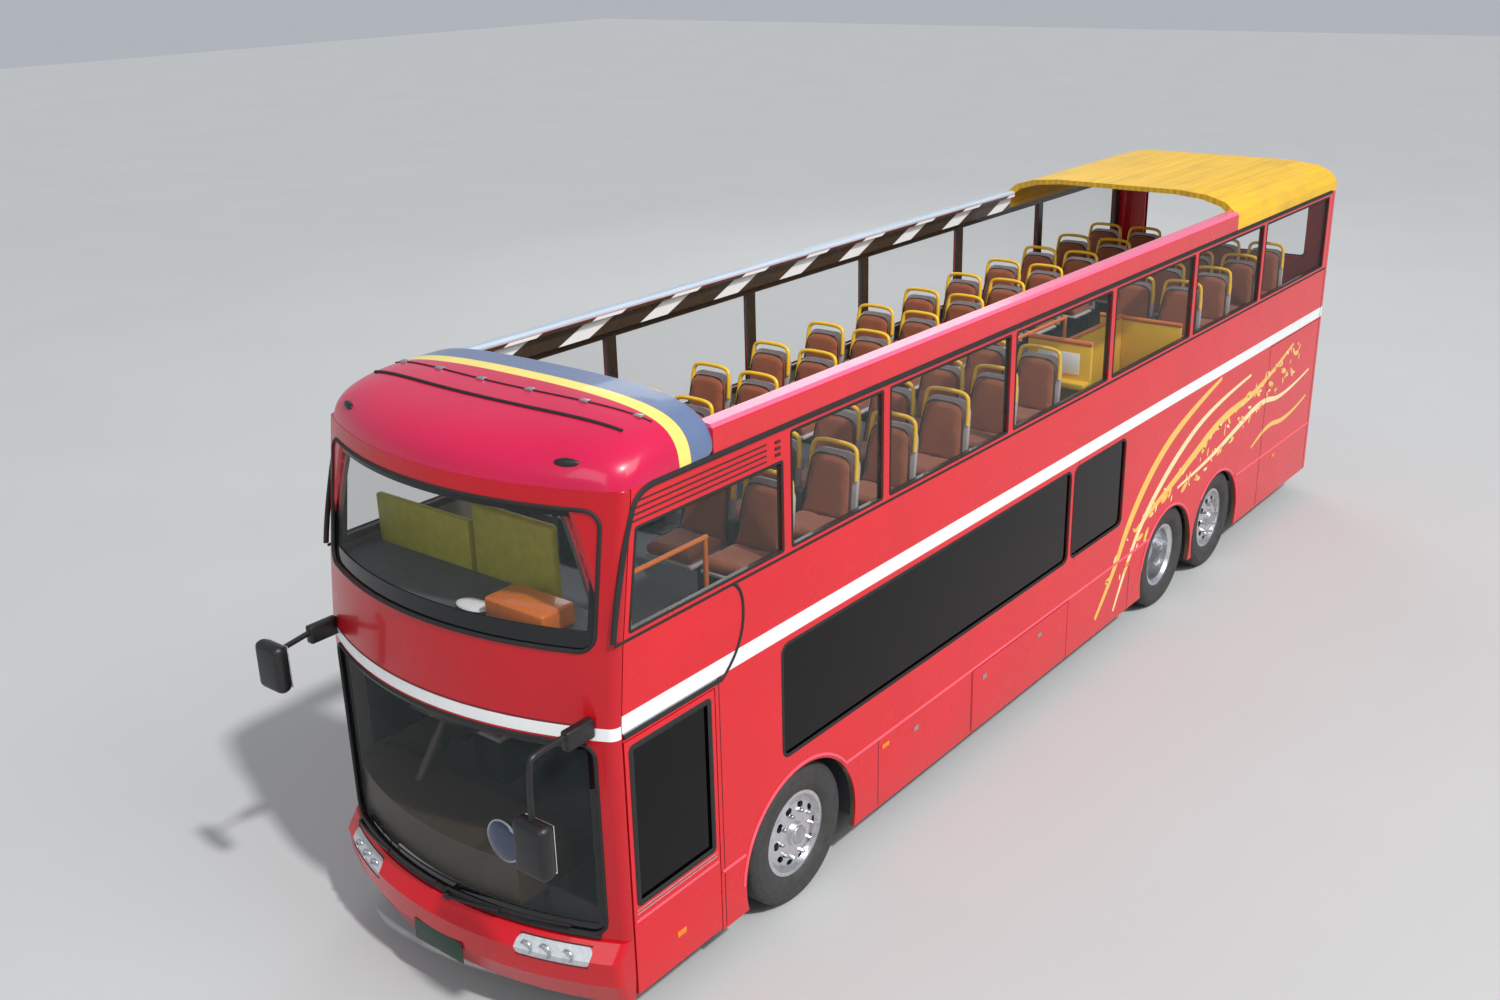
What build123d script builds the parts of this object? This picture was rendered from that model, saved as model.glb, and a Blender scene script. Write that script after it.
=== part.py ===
from build123d import *
from math import cos, radians, sin
import os

os.makedirs("parts", exist_ok=True)

# An open top double decker bus, right hand drive, with its entrance door on the left.
# X runs forwards, Y to the left and Z up. The origin is on the road, at the middle of the bus.
# All sizes are in millimetres.

# Driving dimensions of the whole bus
body_length = 11990
half_width = 1245
wall = 45
panel_gap = 8
seat_fit = 0.3
mirror_ahead = 190
front_overhang = 2130
drive_axle_back = 5860
tag_axle_back = 7040

# Stations along the bus
nose_x = (body_length - mirror_ahead) / 2
tail_x = nose_x - body_length
front_axle_x = nose_x - front_overhang
drive_axle_x = front_axle_x - drive_axle_back
tag_axle_x = front_axle_x - tag_axle_back
low_nose = 2030
mid_nose = 1985
high_nose = 1850
corner_back = 360
corner_x = front_axle_x + low_nose - corner_back
door_back_x = front_axle_x + 860
bulkhead_x = front_axle_x - 4950
roof_cap_back = 800
roof_cap_back_x = front_axle_x + roof_cap_back
rear_roof_front_x = front_axle_x - 6950
side_back_x = tail_x + 190

# Heights of the body's panels
skirt_z = 270
screen_foot_z = 700
rib_z = 830
low_window_foot_z = 1200
low_window_head_z = 2000
deck_z = 2060
belt_z = 2100
high_screen_foot_z = 2540
high_side_z = 2590
high_window_foot_z = 2640
high_window_head_z = 3385
first_window_head_z = 3220
rail_z = 3440
rail_top_z = 3620
roof_z = 3780
inner_y = half_width - wall

# Wheels and tyres
axle_z = 505
tyre_radius = 505
tyre_width = 275
tyre_bead = 285.3
tyre_to_side = 30
twin_spacing = 310
single_y = half_width - tyre_to_side - tyre_width / 2
twin_y = half_width - tyre_to_side - tyre_width / 2 - twin_spacing / 2
kingpin_y = 918
kingpin_radius = 22
spindle_radius = 45
drive_tube_radius = 60
running_fit = 0.05
joint_gap = 5
front_arch_radius = 615
rear_arch_radius = 570
arch_z = 430
hand_holes = 10

# Floors
floor_plate = 60
saloon_z = 430
platform_z = 780
platform_plate = 40
rear_deck_z = 1160
wheel_box_half = 660
wheel_box_y = 560
wheel_box_z = 1100
thin_plate = 20

# Underframe
rail_y = 430
rail_width = 80
rail_height = 120
low_rail_z = 290
low_rail_height = saloon_z - floor_plate - low_rail_z
front_rail_z = platform_z - platform_plate - rail_height
rear_rail_z = 700

# Door mechanism
door_foot_z = 290
door_head_z = 1992
door_swing = 470
post_radius = 16
post_x = corner_x - 75
post_y = 1150
arm_out = 130


def block(x, y, z, mode=Mode.ADD):
    """A block from the lowest to the highest x, y and z, in the part that is being built."""
    middle = ((x[0] + x[1]) / 2, (y[0] + y[1]) / 2, (z[0] + z[1]) / 2)
    with Locations(middle):
        Box(x[1] - x[0], y[1] - y[0], z[1] - z[0], mode=mode)


def keep(piece, label):
    """Names a finished piece and writes it."""
    piece.part.label = label
    export_step(piece.part, f"parts/{label}.step")


def side_plane(y):
    """The plane at y whose own x and y run along X and Z of the bus. Its normal is -Y."""
    return Plane((0, y, 0), x_dir=(1, 0, 0), z_dir=(0, -1, 0))


# The nose: its outline in plan is a long arc between two rounded corners
front_radius = 2650
nose_corner = 70


def nose_outline(height, front, side, back, corner):
    """The plan of the nose at one height, from back to front and between -side and side."""
    edge_x = front - front_radius + (front_radius**2 - side**2) ** 0.5
    with BuildSketch(Plane.XY.offset(height)) as outline:
        with BuildLine():
            ThreePointArc((edge_x, -side), (front, 0), (edge_x, side))
            Polyline((edge_x, side), (back, side), (back, -side), (edge_x, -side))
        make_face()
        front_corners = outline.vertices().filter_by(lambda v: v.X > back + 1 and abs(v.Y) > side - 1)
        fillet(front_corners, corner)
    return outline.sketch


def nose_loft(levels, inset, behind=0, mode=Mode.ADD):
    """Lofts the nose through its levels, each shrunk by the inset and reaching further behind."""
    sections = [
        nose_outline(height, front_axle_x + front - inset, side - inset, front_axle_x + back - behind, corner)
        for height, front, side, back, corner in levels
    ]
    loft(sections, ruled=True, mode=mode)


# Levels of the nose: height, front and half width, back edge, corner radius. Front and back are
# measured ahead of the front axle.
frame_levels = [
    (screen_foot_z, low_nose, half_width, low_nose - corner_back, nose_corner),
    (belt_z, low_nose, half_width, low_nose - corner_back, nose_corner),
    (high_screen_foot_z, mid_nose, half_width, mid_nose - corner_back, nose_corner),
    (rail_z - seat_fit, high_nose, half_width, high_nose - corner_back, nose_corner),
]
bumper_levels = [
    (skirt_z, 2040, half_width - 10, low_nose - corner_back, nose_corner),
    (skirt_z + 160, 2115, half_width, low_nose - corner_back, nose_corner),
    (skirt_z + 330, front_overhang, half_width, low_nose - corner_back, nose_corner),
    (screen_foot_z - seat_fit, 2050, half_width, low_nose - corner_back, nose_corner),
]
cap_levels = [
    (rail_z, high_nose, half_width, roof_cap_back, 120),
    (rail_z + 90, high_nose - 15, half_width - 6, roof_cap_back, 150),
    (rail_z + 180, high_nose - 90, half_width - 45, roof_cap_back, 200),
    (rail_z + 260, high_nose - 240, half_width - 140, roof_cap_back, 260),
    (rail_z + 315, high_nose - 470, half_width - 330, roof_cap_back, 300),
    (roof_z, high_nose - 700, half_width - 600, roof_cap_back, 300),
]
screen_half_width = 1130
low_screen_z = (screen_foot_z + 40, low_window_head_z)
high_screen_z = (high_screen_foot_z + 15, rail_z - 110)
screen_corner = 90
glass_inset = 14
glass_thickness = 12


def nose_strip(y, foot, height, stand_off, thickness):
    """A strip that follows the lower nose's face between two y, standing off it by a distance."""
    edge_x = front_axle_x + low_nose - corner_back
    front = front_axle_x + low_nose + stand_off
    with BuildPart() as strip:
        extrude(nose_outline(foot, front + thickness, half_width, edge_x, nose_corner), amount=height)
        extrude(nose_outline(foot, front, half_width, edge_x, nose_corner), amount=height, mode=Mode.SUBTRACT)
        block((edge_x + 5, front + thickness), y, (foot, foot + height), Mode.INTERSECT)
    return strip.part


def screen_outlines(shrink):
    """Both windscreens as rounded rectangles, seen from the front."""
    with BuildSketch(Plane.YZ.offset(corner_x + 5)) as outlines:
        for low, high in (low_screen_z, high_screen_z):
            with Locations((0, (low + high) / 2)):
                RectangleRounded(
                    2 * (screen_half_width - shrink), high - low - 2 * shrink, screen_corner - shrink
                )
    return outlines.sketch


# Front frame, from the windscreens' foot to the roof, with both windscreen openings
inside_reach = 40
nose_reach = nose_x - corner_x
with BuildPart() as front_frame:
    nose_loft(frame_levels, 0)
    nose_loft(frame_levels, wall, inside_reach, Mode.SUBTRACT)
    extrude(screen_outlines(0), amount=nose_reach, mode=Mode.SUBTRACT)
keep(front_frame, "front_frame")

# Windscreens: the nose's own skin, cut to the openings
with BuildPart() as windscreens:
    nose_loft(frame_levels, glass_inset)
    nose_loft(frame_levels, glass_inset + glass_thickness, inside_reach, Mode.SUBTRACT)
    extrude(screen_outlines(seat_fit), amount=nose_reach, mode=Mode.INTERSECT)
keep(windscreens, "windscreens")

# Bumper panel, with an opening for each headlamp and the two holes of the plate
lamp_z = (skirt_z + 290, skirt_z + 400)
lamp_y = (620, 1090)
lamp_depth = 70
plate_spacing = 290
plate_hole_radius = 3.5
plate_z = skirt_z + 110


def lamp_outlines(shrink):
    """Both headlamps as rectangles, seen from the front."""
    width = lamp_y[1] - lamp_y[0] - 2 * shrink
    height = lamp_z[1] - lamp_z[0] - 2 * shrink
    lamp_middle = (lamp_y[0] + lamp_y[1]) / 2
    with BuildSketch(Plane.YZ.offset(corner_x + 5)) as outlines:
        with Locations((-lamp_middle, sum(lamp_z) / 2), (lamp_middle, sum(lamp_z) / 2)):
            RectangleRounded(width, height, 40 - shrink)
    return outlines.sketch


with BuildPart() as bumper:
    nose_loft(bumper_levels, 0)
    nose_loft(bumper_levels, wall, inside_reach, Mode.SUBTRACT)
    extrude(lamp_outlines(0), amount=nose_reach, mode=Mode.SUBTRACT)
    with BuildSketch(Plane.YZ.offset(corner_x + 50)) as plate_holes:
        with Locations((-plate_spacing / 2, plate_z), (plate_spacing / 2, plate_z)):
            Circle(plate_hole_radius)
    extrude(plate_holes.sketch, amount=nose_reach, mode=Mode.SUBTRACT)
keep(bumper, "bumper")

# Lamps: two headlamp clusters in front and two upright clusters at the rear
tail_lamp_y = 1060
tail_lamp_size = (22, 130, 520)
tail_lamp_z = 980
with BuildPart() as lamps:
    nose_loft(bumper_levels, 2)
    nose_loft(bumper_levels, lamp_depth, inside_reach, Mode.SUBTRACT)
    extrude(lamp_outlines(seat_fit), amount=nose_reach, mode=Mode.INTERSECT)
    with Locations(*[(tail_x + 11, side * tail_lamp_y, tail_lamp_z) for side in (-1, 1)]):
        Box(*tail_lamp_size)
keep(lamps, "lamps")

# Front roof cap over the first rows
with BuildPart() as front_roof:
    nose_loft(cap_levels, 0)
    inner_levels = [(max(z - wall, rail_z - wall), f, s, b, c) for z, f, s, b, c in cap_levels]
    nose_loft(inner_levels, wall, inside_reach, Mode.SUBTRACT)
keep(front_roof, "front_roof")


def plan_outline(height, front, back, side, corner):
    """A rectangle in plan with its two rear corners rounded."""
    with BuildSketch(Plane.XY.offset(height)) as outline:
        with Locations(((front + back) / 2, 0)):
            Rectangle(front - back, 2 * side)
        fillet(outline.vertices().group_by(Axis.X)[0], corner)
    return outline.sketch


# Rear roof over the last rows: height, distance in from the tail, half width, corner radius
rear_roof_levels = [
    (rail_z, 0, half_width, 120),
    (rail_z + 90, 8, half_width - 6, 120),
    (rail_z + 180, 50, half_width - 45, 140),
    (rail_z + 260, 150, half_width - 140, 160),
    (rail_z + 315, 330, half_width - 330, 200),
    (roof_z, 600, half_width - 600, 200),
]
with BuildPart() as rear_roof:
    loft(
        [
            plan_outline(z, rear_roof_front_x, tail_x + back, side, corner)
            for z, back, side, corner in rear_roof_levels
        ],
        ruled=True,
    )
    loft(
        [
            plan_outline(z - wall, rear_roof_front_x + inside_reach, tail_x + back + wall, side - wall, corner)
            for z, back, side, corner in rear_roof_levels
        ],
        ruled=True,
        mode=Mode.SUBTRACT,
    )
keep(rear_roof, "rear_roof")

# Side walls. Windows: back and front edge behind (-) or ahead of the front axle, foot and head
pane_foot = low_window_foot_z
pane_head = low_window_head_z
main_pane = (-3730, 200, pane_foot, pane_head)
rear_pane = (-4760, -3800, pane_foot, pane_head)
driver_pane = (760, 1560, 1100, 1950)
window_corner = 60
lid_back = -3800
lid_front = -2220
lid_head_z = rib_z - 25
pivot_inset = 10
pivot_radius = 6
pivot_reach = 20
lid_gap = 10
exit_back = -4850
exit_front = -4050
exit_foot_z = 300
exit_head_z = 1990
door_back = 860
lid_pivot_y = half_width - pivot_inset
lid_pivot_z = lid_head_z - pivot_inset
exit_pivot_y = half_width - pivot_inset
exit_pivot_x = front_axle_x + exit_front - pivot_inset


def seam_x(height):
    """The front edge of the side walls at a height. Above the belt it follows the nose."""
    if height <= belt_z:
        nose = low_nose
    elif height <= high_screen_foot_z:
        rise = (height - belt_z) / (high_screen_foot_z - belt_z)
        nose = low_nose + rise * (mid_nose - low_nose)
    else:
        rise = (height - high_screen_foot_z) / (rail_z - high_screen_foot_z)
        nose = mid_nose + rise * (high_nose - mid_nose)
    return front_axle_x + nose - corner_back - panel_gap


def side_hole(back, front, foot, head, corner=0):
    """Cuts a rectangle, with its x edges measured from the front axle, out of a side sketch."""
    with Locations((front_axle_x + (back + front) / 2, (foot + head) / 2)):
        if corner:
            RectangleRounded(front - back, head - foot, corner, mode=Mode.SUBTRACT)
        else:
            Rectangle(front - back, head - foot, mode=Mode.SUBTRACT)


def lower_side(side):
    """The lower side wall: left for side 1 with the doorway, right for -1 with its emergency exit."""
    with BuildPart() as wall_part:
        with BuildSketch(side_plane(side * half_width)):
            with BuildLine():
                Polyline(
                    (side_back_x, skirt_z),
                    (seam_x(skirt_z), skirt_z),
                    (seam_x(belt_z), belt_z),
                    (seam_x(high_screen_foot_z), high_screen_foot_z),
                    (seam_x(high_side_z), high_side_z - seat_fit),
                    (side_back_x, high_side_z - seat_fit),
                    close=True,
                )
            make_face()
            with Locations((front_axle_x, arch_z)):
                Circle(front_arch_radius, mode=Mode.SUBTRACT)
            with Locations((drive_axle_x, arch_z), (tag_axle_x, arch_z)):
                Circle(rear_arch_radius, mode=Mode.SUBTRACT)
            side_hole(*main_pane, window_corner)
            if side == 1:
                side_hole(*rear_pane, window_corner)
                side_hole(door_back, low_nose, skirt_z - 1, door_head_z + panel_gap)
                side_hole(lid_back - panel_gap, lid_front + panel_gap, skirt_z - 1, lid_head_z + lid_gap)
            else:
                side_hole(*driver_pane, window_corner)
                side_hole(
                    exit_back - panel_gap, exit_front + lid_gap, exit_foot_z - panel_gap, exit_head_z + panel_gap
                )
        extrude(amount=side * wall)
        if side == 1:
            with Locations((front_axle_x + (lid_back + lid_front) / 2, lid_pivot_y, lid_pivot_z)):
                Cylinder(
                    pivot_radius + running_fit,
                    lid_front - lid_back + 2 * (pivot_reach + 1),
                    rotation=(0, 90, 0),
                    mode=Mode.SUBTRACT,
                )
        else:
            with Locations((exit_pivot_x, -exit_pivot_y, (exit_foot_z + exit_head_z) / 2)):
                Cylinder(
                    pivot_radius + running_fit,
                    exit_head_z - exit_foot_z + 2 * (pivot_reach + 1),
                    mode=Mode.SUBTRACT,
                )
    return wall_part


for side, label in ((1, "left"), (-1, "right")):
    keep(lower_side(side), f"lower_side_{label}")

# Upper side walls: a frame of posts round the open deck's windows. Post centres from the axle
post_width = 90
post_centres = (120, -970, -2660, -4340, -6020, -7700)
last_window_back = side_back_x - front_axle_x + 120
high_panes = [
    (back + post_width / 2, front - post_width / 2)
    for front, back in zip(post_centres, post_centres[1:] + (last_window_back - post_width / 2,))
]
first_margin = 45


def first_pane_outline(shrink):
    """The first upper window, whose front edge leans back with the nose, in side coordinates."""
    foot = high_window_foot_z + shrink
    head = first_window_head_z - shrink
    back = front_axle_x + post_centres[0] + post_width / 2 + shrink
    with BuildSketch(Plane.XY) as outline:
        with BuildLine():
            Polyline(
                (back, foot),
                (seam_x(foot) - first_margin - shrink, foot),
                (seam_x(head) - first_margin - shrink, head),
                (back, head),
                close=True,
            )
        make_face()
    return outline.sketch


def upper_side(side):
    with BuildPart() as wall_part:
        with BuildSketch(side_plane(side * half_width)):
            with BuildLine():
                Polyline(
                    (side_back_x, high_side_z),
                    (seam_x(high_side_z), high_side_z),
                    (seam_x(rail_z), rail_z - seat_fit),
                    (side_back_x, rail_z - seat_fit),
                    close=True,
                )
            make_face()
            add(first_pane_outline(0), mode=Mode.SUBTRACT)
            for back, front in high_panes:
                side_hole(back, front, high_window_foot_z, high_window_head_z)
        extrude(amount=side * wall)
    return wall_part


for side, label in ((1, "left"), (-1, "right")):
    keep(upper_side(side), f"upper_side_{label}")

# Side glass, in the middle of its wall and 0.3 mm clear all round
pane_depth = 14
with BuildPart() as upper_glass:
    for side in (1, -1):
        with BuildSketch(side_plane(side * (half_width - pane_depth))):
            add(first_pane_outline(seat_fit))
            for back, front in high_panes:
                with Locations((front_axle_x + (back + front) / 2, (high_window_foot_z + high_window_head_z) / 2)):
                    Rectangle(
                        front - back - 2 * seat_fit, high_window_head_z - high_window_foot_z - 2 * seat_fit
                    )
        extrude(amount=side * glass_thickness)
keep(upper_glass, "upper_glass")

with BuildPart() as lower_glass:
    for side, panes in ((1, (main_pane, rear_pane)), (-1, (main_pane, driver_pane))):
        with BuildSketch(side_plane(side * (half_width - pane_depth))):
            for back, front, foot, head in panes:
                with Locations((front_axle_x + (back + front) / 2, (foot + head) / 2)):
                    RectangleRounded(
                        front - back - 2 * seat_fit, head - foot - 2 * seat_fit, window_corner - seat_fit
                    )
        extrude(amount=side * glass_thickness)
keep(lower_glass, "lower_glass")

# Top rails along the open deck, each a hollow-looking rail with a lip on its inner edge
rail_profile = [(0, 0), (0, 150), (-20, 180), (-105, 188), (-125, 170), (-125, 130), (-80, 120), (-80, 0)]
with BuildPart() as top_rails:
    for side in (1, -1):
        with BuildSketch(Plane.YZ.offset(rear_roof_front_x + seat_fit)):
            with BuildLine():
                Polyline(*[(side * (half_width + y), rail_z + z) for y, z in rail_profile], close=True)
            make_face()
        extrude(amount=roof_cap_back_x - rear_roof_front_x - 2 * seat_fit)
keep(top_rails, "top_rails")

# Rear wall with the engine bay's opening and the open deck's rear window
rear_corner = 150
lid_half = 900
engine_lid_z = (480, 1500)
rear_window_half = 950
rear_window_z = (2660, 3300)
with BuildPart() as rear_wall:
    with BuildSketch(Plane.XY.offset(skirt_z)):
        add(plan_outline(0, side_back_x - panel_gap, tail_x, half_width, rear_corner))
        add(
            plan_outline(0, side_back_x + wall, tail_x + wall, half_width - wall, rear_corner - wall),
            mode=Mode.SUBTRACT,
        )
    extrude(amount=rail_z - seat_fit - skirt_z)
    block(
        (tail_x - 1, tail_x + wall + 1),
        (-lid_half - panel_gap, lid_half + panel_gap),
        (engine_lid_z[0] - panel_gap, engine_lid_z[1] + lid_gap),
        Mode.SUBTRACT,
    )
    block((tail_x - 1, tail_x + wall + 1), (-rear_window_half, rear_window_half), rear_window_z, Mode.SUBTRACT)
    with Locations((tail_x + pivot_inset, 0, engine_lid_z[1] - pivot_inset)):
        Cylinder(
            pivot_radius + running_fit, 2 * (lid_half + pivot_reach + 1), rotation=(90, 0, 0), mode=Mode.SUBTRACT
        )
    with Locations(*[(tail_x + 11, side * tail_lamp_y, tail_lamp_z) for side in (-1, 1)]):
        Box(tail_lamp_size[0] + 2 * seat_fit, tail_lamp_size[1] + 1, tail_lamp_size[2] + 1, mode=Mode.SUBTRACT)
keep(rear_wall, "rear_wall")

# Engine lid, on two stub pins
with BuildPart() as engine_lid:
    block((tail_x, tail_x + wall), (-lid_half, lid_half), engine_lid_z)
    with Locations((tail_x + pivot_inset, 0, engine_lid_z[1] - pivot_inset)):
        Cylinder(pivot_radius, 2 * (lid_half + pivot_reach), rotation=(90, 0, 0))
keep(engine_lid, "engine_lid")

# Locker lid in the left skirt, on two stub pins
with BuildPart() as locker_lid:
    block(
        (front_axle_x + lid_back, front_axle_x + lid_front), (inner_y, half_width), (skirt_z, lid_head_z)
    )
    with Locations((front_axle_x + (lid_back + lid_front) / 2, lid_pivot_y, lid_pivot_z)):
        Cylinder(pivot_radius, lid_front - lid_back + 2 * pivot_reach, rotation=(0, 90, 0))
keep(locker_lid, "locker_lid")

# Emergency exit door in the right side, on pins at its front edge, with its pane recessed
exit_pane_margin = 120
pane_recess = 14
with BuildPart() as exit_door:
    block(
        (front_axle_x + exit_back, front_axle_x + exit_front), (-half_width, -inner_y), (exit_foot_z, exit_head_z)
    )
    for low, high in ((-half_width - 1, -half_width + pane_recess), (-inner_y - pane_recess, -inner_y + 1)):
        block(
            (front_axle_x + exit_back + exit_pane_margin, front_axle_x + exit_front - exit_pane_margin),
            (low, high),
            (pane_foot, pane_head - 60),
            Mode.SUBTRACT,
        )
    with Locations((exit_pivot_x, -exit_pivot_y, (exit_foot_z + exit_head_z) / 2)):
        Cylinder(pivot_radius, exit_head_z - exit_foot_z + 2 * pivot_reach)
keep(exit_door, "exit_door")

def cosine(angle):
    return cos(radians(angle))


def sine(angle):
    return sin(radians(angle))


# Entrance door leaf, its glass and the turning post with two bent arms
door_pane_z = (900, door_head_z - 50)
door_pane_margin = 45
door_rest_angle = 183
door_elbow_angle = 253
swing_eye_x = post_x + door_swing * cosine(door_rest_angle)
swing_eye_y = post_y + door_swing * sine(door_rest_angle)
elbow_x = post_x + arm_out * cosine(door_elbow_angle)
elbow_y = post_y + arm_out * sine(door_elbow_angle)
arm_heights = (620, 1720)
arm_thickness = 20
eye_radius = 18
eye_pin_radius = 8
lug_thickness = 8
door_x = (door_back_x + panel_gap, corner_x - panel_gap - 8)
step_top_z = 390
low_bar = step_top_z + 10
high_bar = door_head_z - 20
with BuildPart() as door_leaf:
    block(door_x, (inner_y, half_width), (door_foot_z, door_head_z))
    block(
        (door_x[0] + door_pane_margin, door_x[1] - door_pane_margin),
        (inner_y - 1, half_width + 1),
        door_pane_z,
        Mode.SUBTRACT,
    )
    for height in arm_heights:
        for lug in (height - arm_thickness / 2 - 1 - lug_thickness, height + arm_thickness / 2 + 1):
            block(
                (swing_eye_x - eye_radius, swing_eye_x + eye_radius),
                (swing_eye_y - eye_radius, inner_y),
                (lug, lug + lug_thickness),
            )
        block((swing_eye_x - eye_radius, swing_eye_x + eye_radius), (inner_y - 12, inner_y + 9), (low_bar, high_bar))
        with Locations((swing_eye_x, swing_eye_y, height)):
            Cylinder(eye_pin_radius, arm_thickness + 2 + lug_thickness)
keep(door_leaf, "door_leaf")

with BuildPart() as door_glass:
    block(
        (door_x[0] + door_pane_margin + seat_fit, door_x[1] - door_pane_margin - seat_fit),
        (half_width - pane_depth - glass_thickness, half_width - pane_depth),
        (door_pane_z[0] + seat_fit, door_pane_z[1] - seat_fit),
    )
keep(door_glass, "door_glass")

with BuildPart() as door_post:
    with Locations((post_x, post_y, (step_top_z + seat_fit + door_head_z) / 2)):
        Cylinder(post_radius, door_head_z - step_top_z - seat_fit)
    for height in arm_heights:
        with BuildSketch(Plane.XY.offset(height - arm_thickness / 2)) as arm:
            with BuildLine() as arm_line:
                Polyline((post_x, post_y), (elbow_x, elbow_y), (swing_eye_x, swing_eye_y))
            trace(line_width=arm_thickness)
            with Locations((swing_eye_x, swing_eye_y)):
                Circle(eye_radius)
                Circle(eye_pin_radius + running_fit, mode=Mode.SUBTRACT)
        extrude(amount=arm_thickness)
keep(door_post, "door_post")

# Floors. The lower floor has a raised platform in front, a step well at the door and wheel boxes
floor_y = inner_y - seat_fit
moving_y = inner_y - joint_gap - 1
platform_back = -750
platform_back_x = front_axle_x + platform_back
platform_front_x = corner_x - 10
well_back_x = door_back_x - thin_plate
well_y = 560
well_mid_y = 850
well_mid_z = 585
lower_step_z = step_top_z - platform_plate
box_back_x = front_axle_x - wheel_box_half
box_front_x = front_axle_x + wheel_box_half
upper_plate_z = deck_z - floor_plate
with BuildPart() as lower_floor:
    block((bulkhead_x, platform_back_x), (-floor_y, floor_y), (saloon_z - floor_plate, saloon_z))
    block((platform_back_x - thin_plate, platform_back_x), (-floor_y, floor_y), (saloon_z - 1, platform_z))
    block((platform_back_x - 1, platform_front_x), (-floor_y, floor_y), (platform_z - platform_plate, platform_z))
    for low, high in ((wheel_box_y, floor_y + 1), (-floor_y - 1, -wheel_box_y)):
        block((box_back_x, box_front_x), (low, high), (skirt_z, wheel_box_z), Mode.SUBTRACT)
    for side in (1, -1):
        inner, outer = sorted((side * (wheel_box_y - thin_plate), side * wheel_box_y))
        block((box_back_x, box_front_x), (inner, outer), (platform_z - platform_plate, wheel_box_z))
        low, high = sorted((side * (wheel_box_y - thin_plate), side * floor_y))
        block((box_back_x, box_front_x), (low, high), (wheel_box_z - thin_plate, wheel_box_z))
        for wall_x in (box_back_x - thin_plate, box_front_x):
            block((wall_x, wall_x + thin_plate), (low, high), (platform_z - platform_plate, wheel_box_z))
            low_wall = sorted((side * wheel_box_y, side * floor_y))
            block((wall_x, wall_x + thin_plate), low_wall, (skirt_z + 30, platform_z))
    block((well_back_x + thin_plate, platform_front_x - thin_plate), (well_y, floor_y + 1), (skirt_z, platform_z + 1), Mode.SUBTRACT)
    block((well_back_x, platform_front_x), (well_mid_y, moving_y), (lower_step_z, step_top_z))
    block((well_back_x, platform_front_x), (well_y, well_mid_y + thin_plate), (well_mid_z - platform_plate, well_mid_z))
    block((well_back_x, platform_front_x), (well_mid_y, well_mid_y + thin_plate), (lower_step_z, well_mid_z))
    block((well_back_x, platform_front_x), (well_y - thin_plate, well_y), (well_mid_z - platform_plate, platform_z))
    for wall_x in (well_back_x, platform_front_x - thin_plate):
        block((wall_x, wall_x + thin_plate), (well_mid_y, moving_y), (lower_step_z, platform_z))
        block((wall_x, wall_x + thin_plate), (well_y - thin_plate, well_mid_y + 1), (well_mid_z - platform_plate, platform_z))
    block(
        (bulkhead_x - thin_plate, bulkhead_x), (-floor_y, floor_y), (saloon_z - floor_plate, upper_plate_z - seat_fit)
    )
    rear_deck = plan_outline(
        rear_deck_z - platform_plate, bulkhead_x, tail_x + wall + seat_fit, floor_y, rear_corner - wall
    )
    extrude(rear_deck, amount=platform_plate)
    lid_span = (front_axle_x + lid_back - lid_gap, front_axle_x + lid_front + lid_gap)
    block(lid_span, (moving_y, inner_y), (skirt_z, platform_z), Mode.SUBTRACT)
    exit_span = (front_axle_x + exit_back - lid_gap, front_axle_x + exit_front + lid_gap)
    block(exit_span, (-inner_y, -moving_y), (skirt_z, platform_z), Mode.SUBTRACT)
keep(lower_floor, "lower_floor")

# Upper floor with the stairwell, the stairs, the front partition and the ledge under the screen
stair_front_x = front_axle_x - 3500
stair_end_x = bulkhead_x + 30
stair_y = (640, 1180)
stair_steps = 8
stair_plate = 40
stair_rise = (deck_z - saloon_z) / (stair_steps + 1)
stair_going = (stair_front_x - stair_end_x) / stair_steps
stairwell_front_x = front_axle_x - 4150
partition_x = front_axle_x + 1330
ledge_z = 2500
with BuildPart() as upper_floor:
    deck = plan_outline(upper_plate_z, platform_front_x - 10, tail_x + wall + seat_fit, floor_y, rear_corner - wall)
    extrude(deck, amount=floor_plate)
    block((stair_end_x, stairwell_front_x), stair_y, (upper_plate_z - 1, deck_z + 1), Mode.SUBTRACT)
    block((partition_x, partition_x + thin_plate), (-floor_y, floor_y), (deck_z - 1, ledge_z + 40))
    ledge = nose_outline(ledge_z, front_axle_x + mid_nose - wall - 12, floor_y, partition_x, nose_corner)
    extrude(ledge, amount=40)
    for step in range(stair_steps + 1):
        step_front = stair_front_x - step * stair_going
        step_head = saloon_z + (step + 1) * stair_rise
        riser_foot = saloon_z + step * stair_rise + (seat_fit if step == 0 else -stair_plate)
        riser_head = min(step_head, upper_plate_z + 1)
        block((step_front - thin_plate, step_front), stair_y, (riser_foot, riser_head))
        if step < stair_steps:
            block((step_front - stair_going - 1, step_front), stair_y, (step_head - stair_plate, step_head))
keep(upper_floor, "upper_floor")

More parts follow.
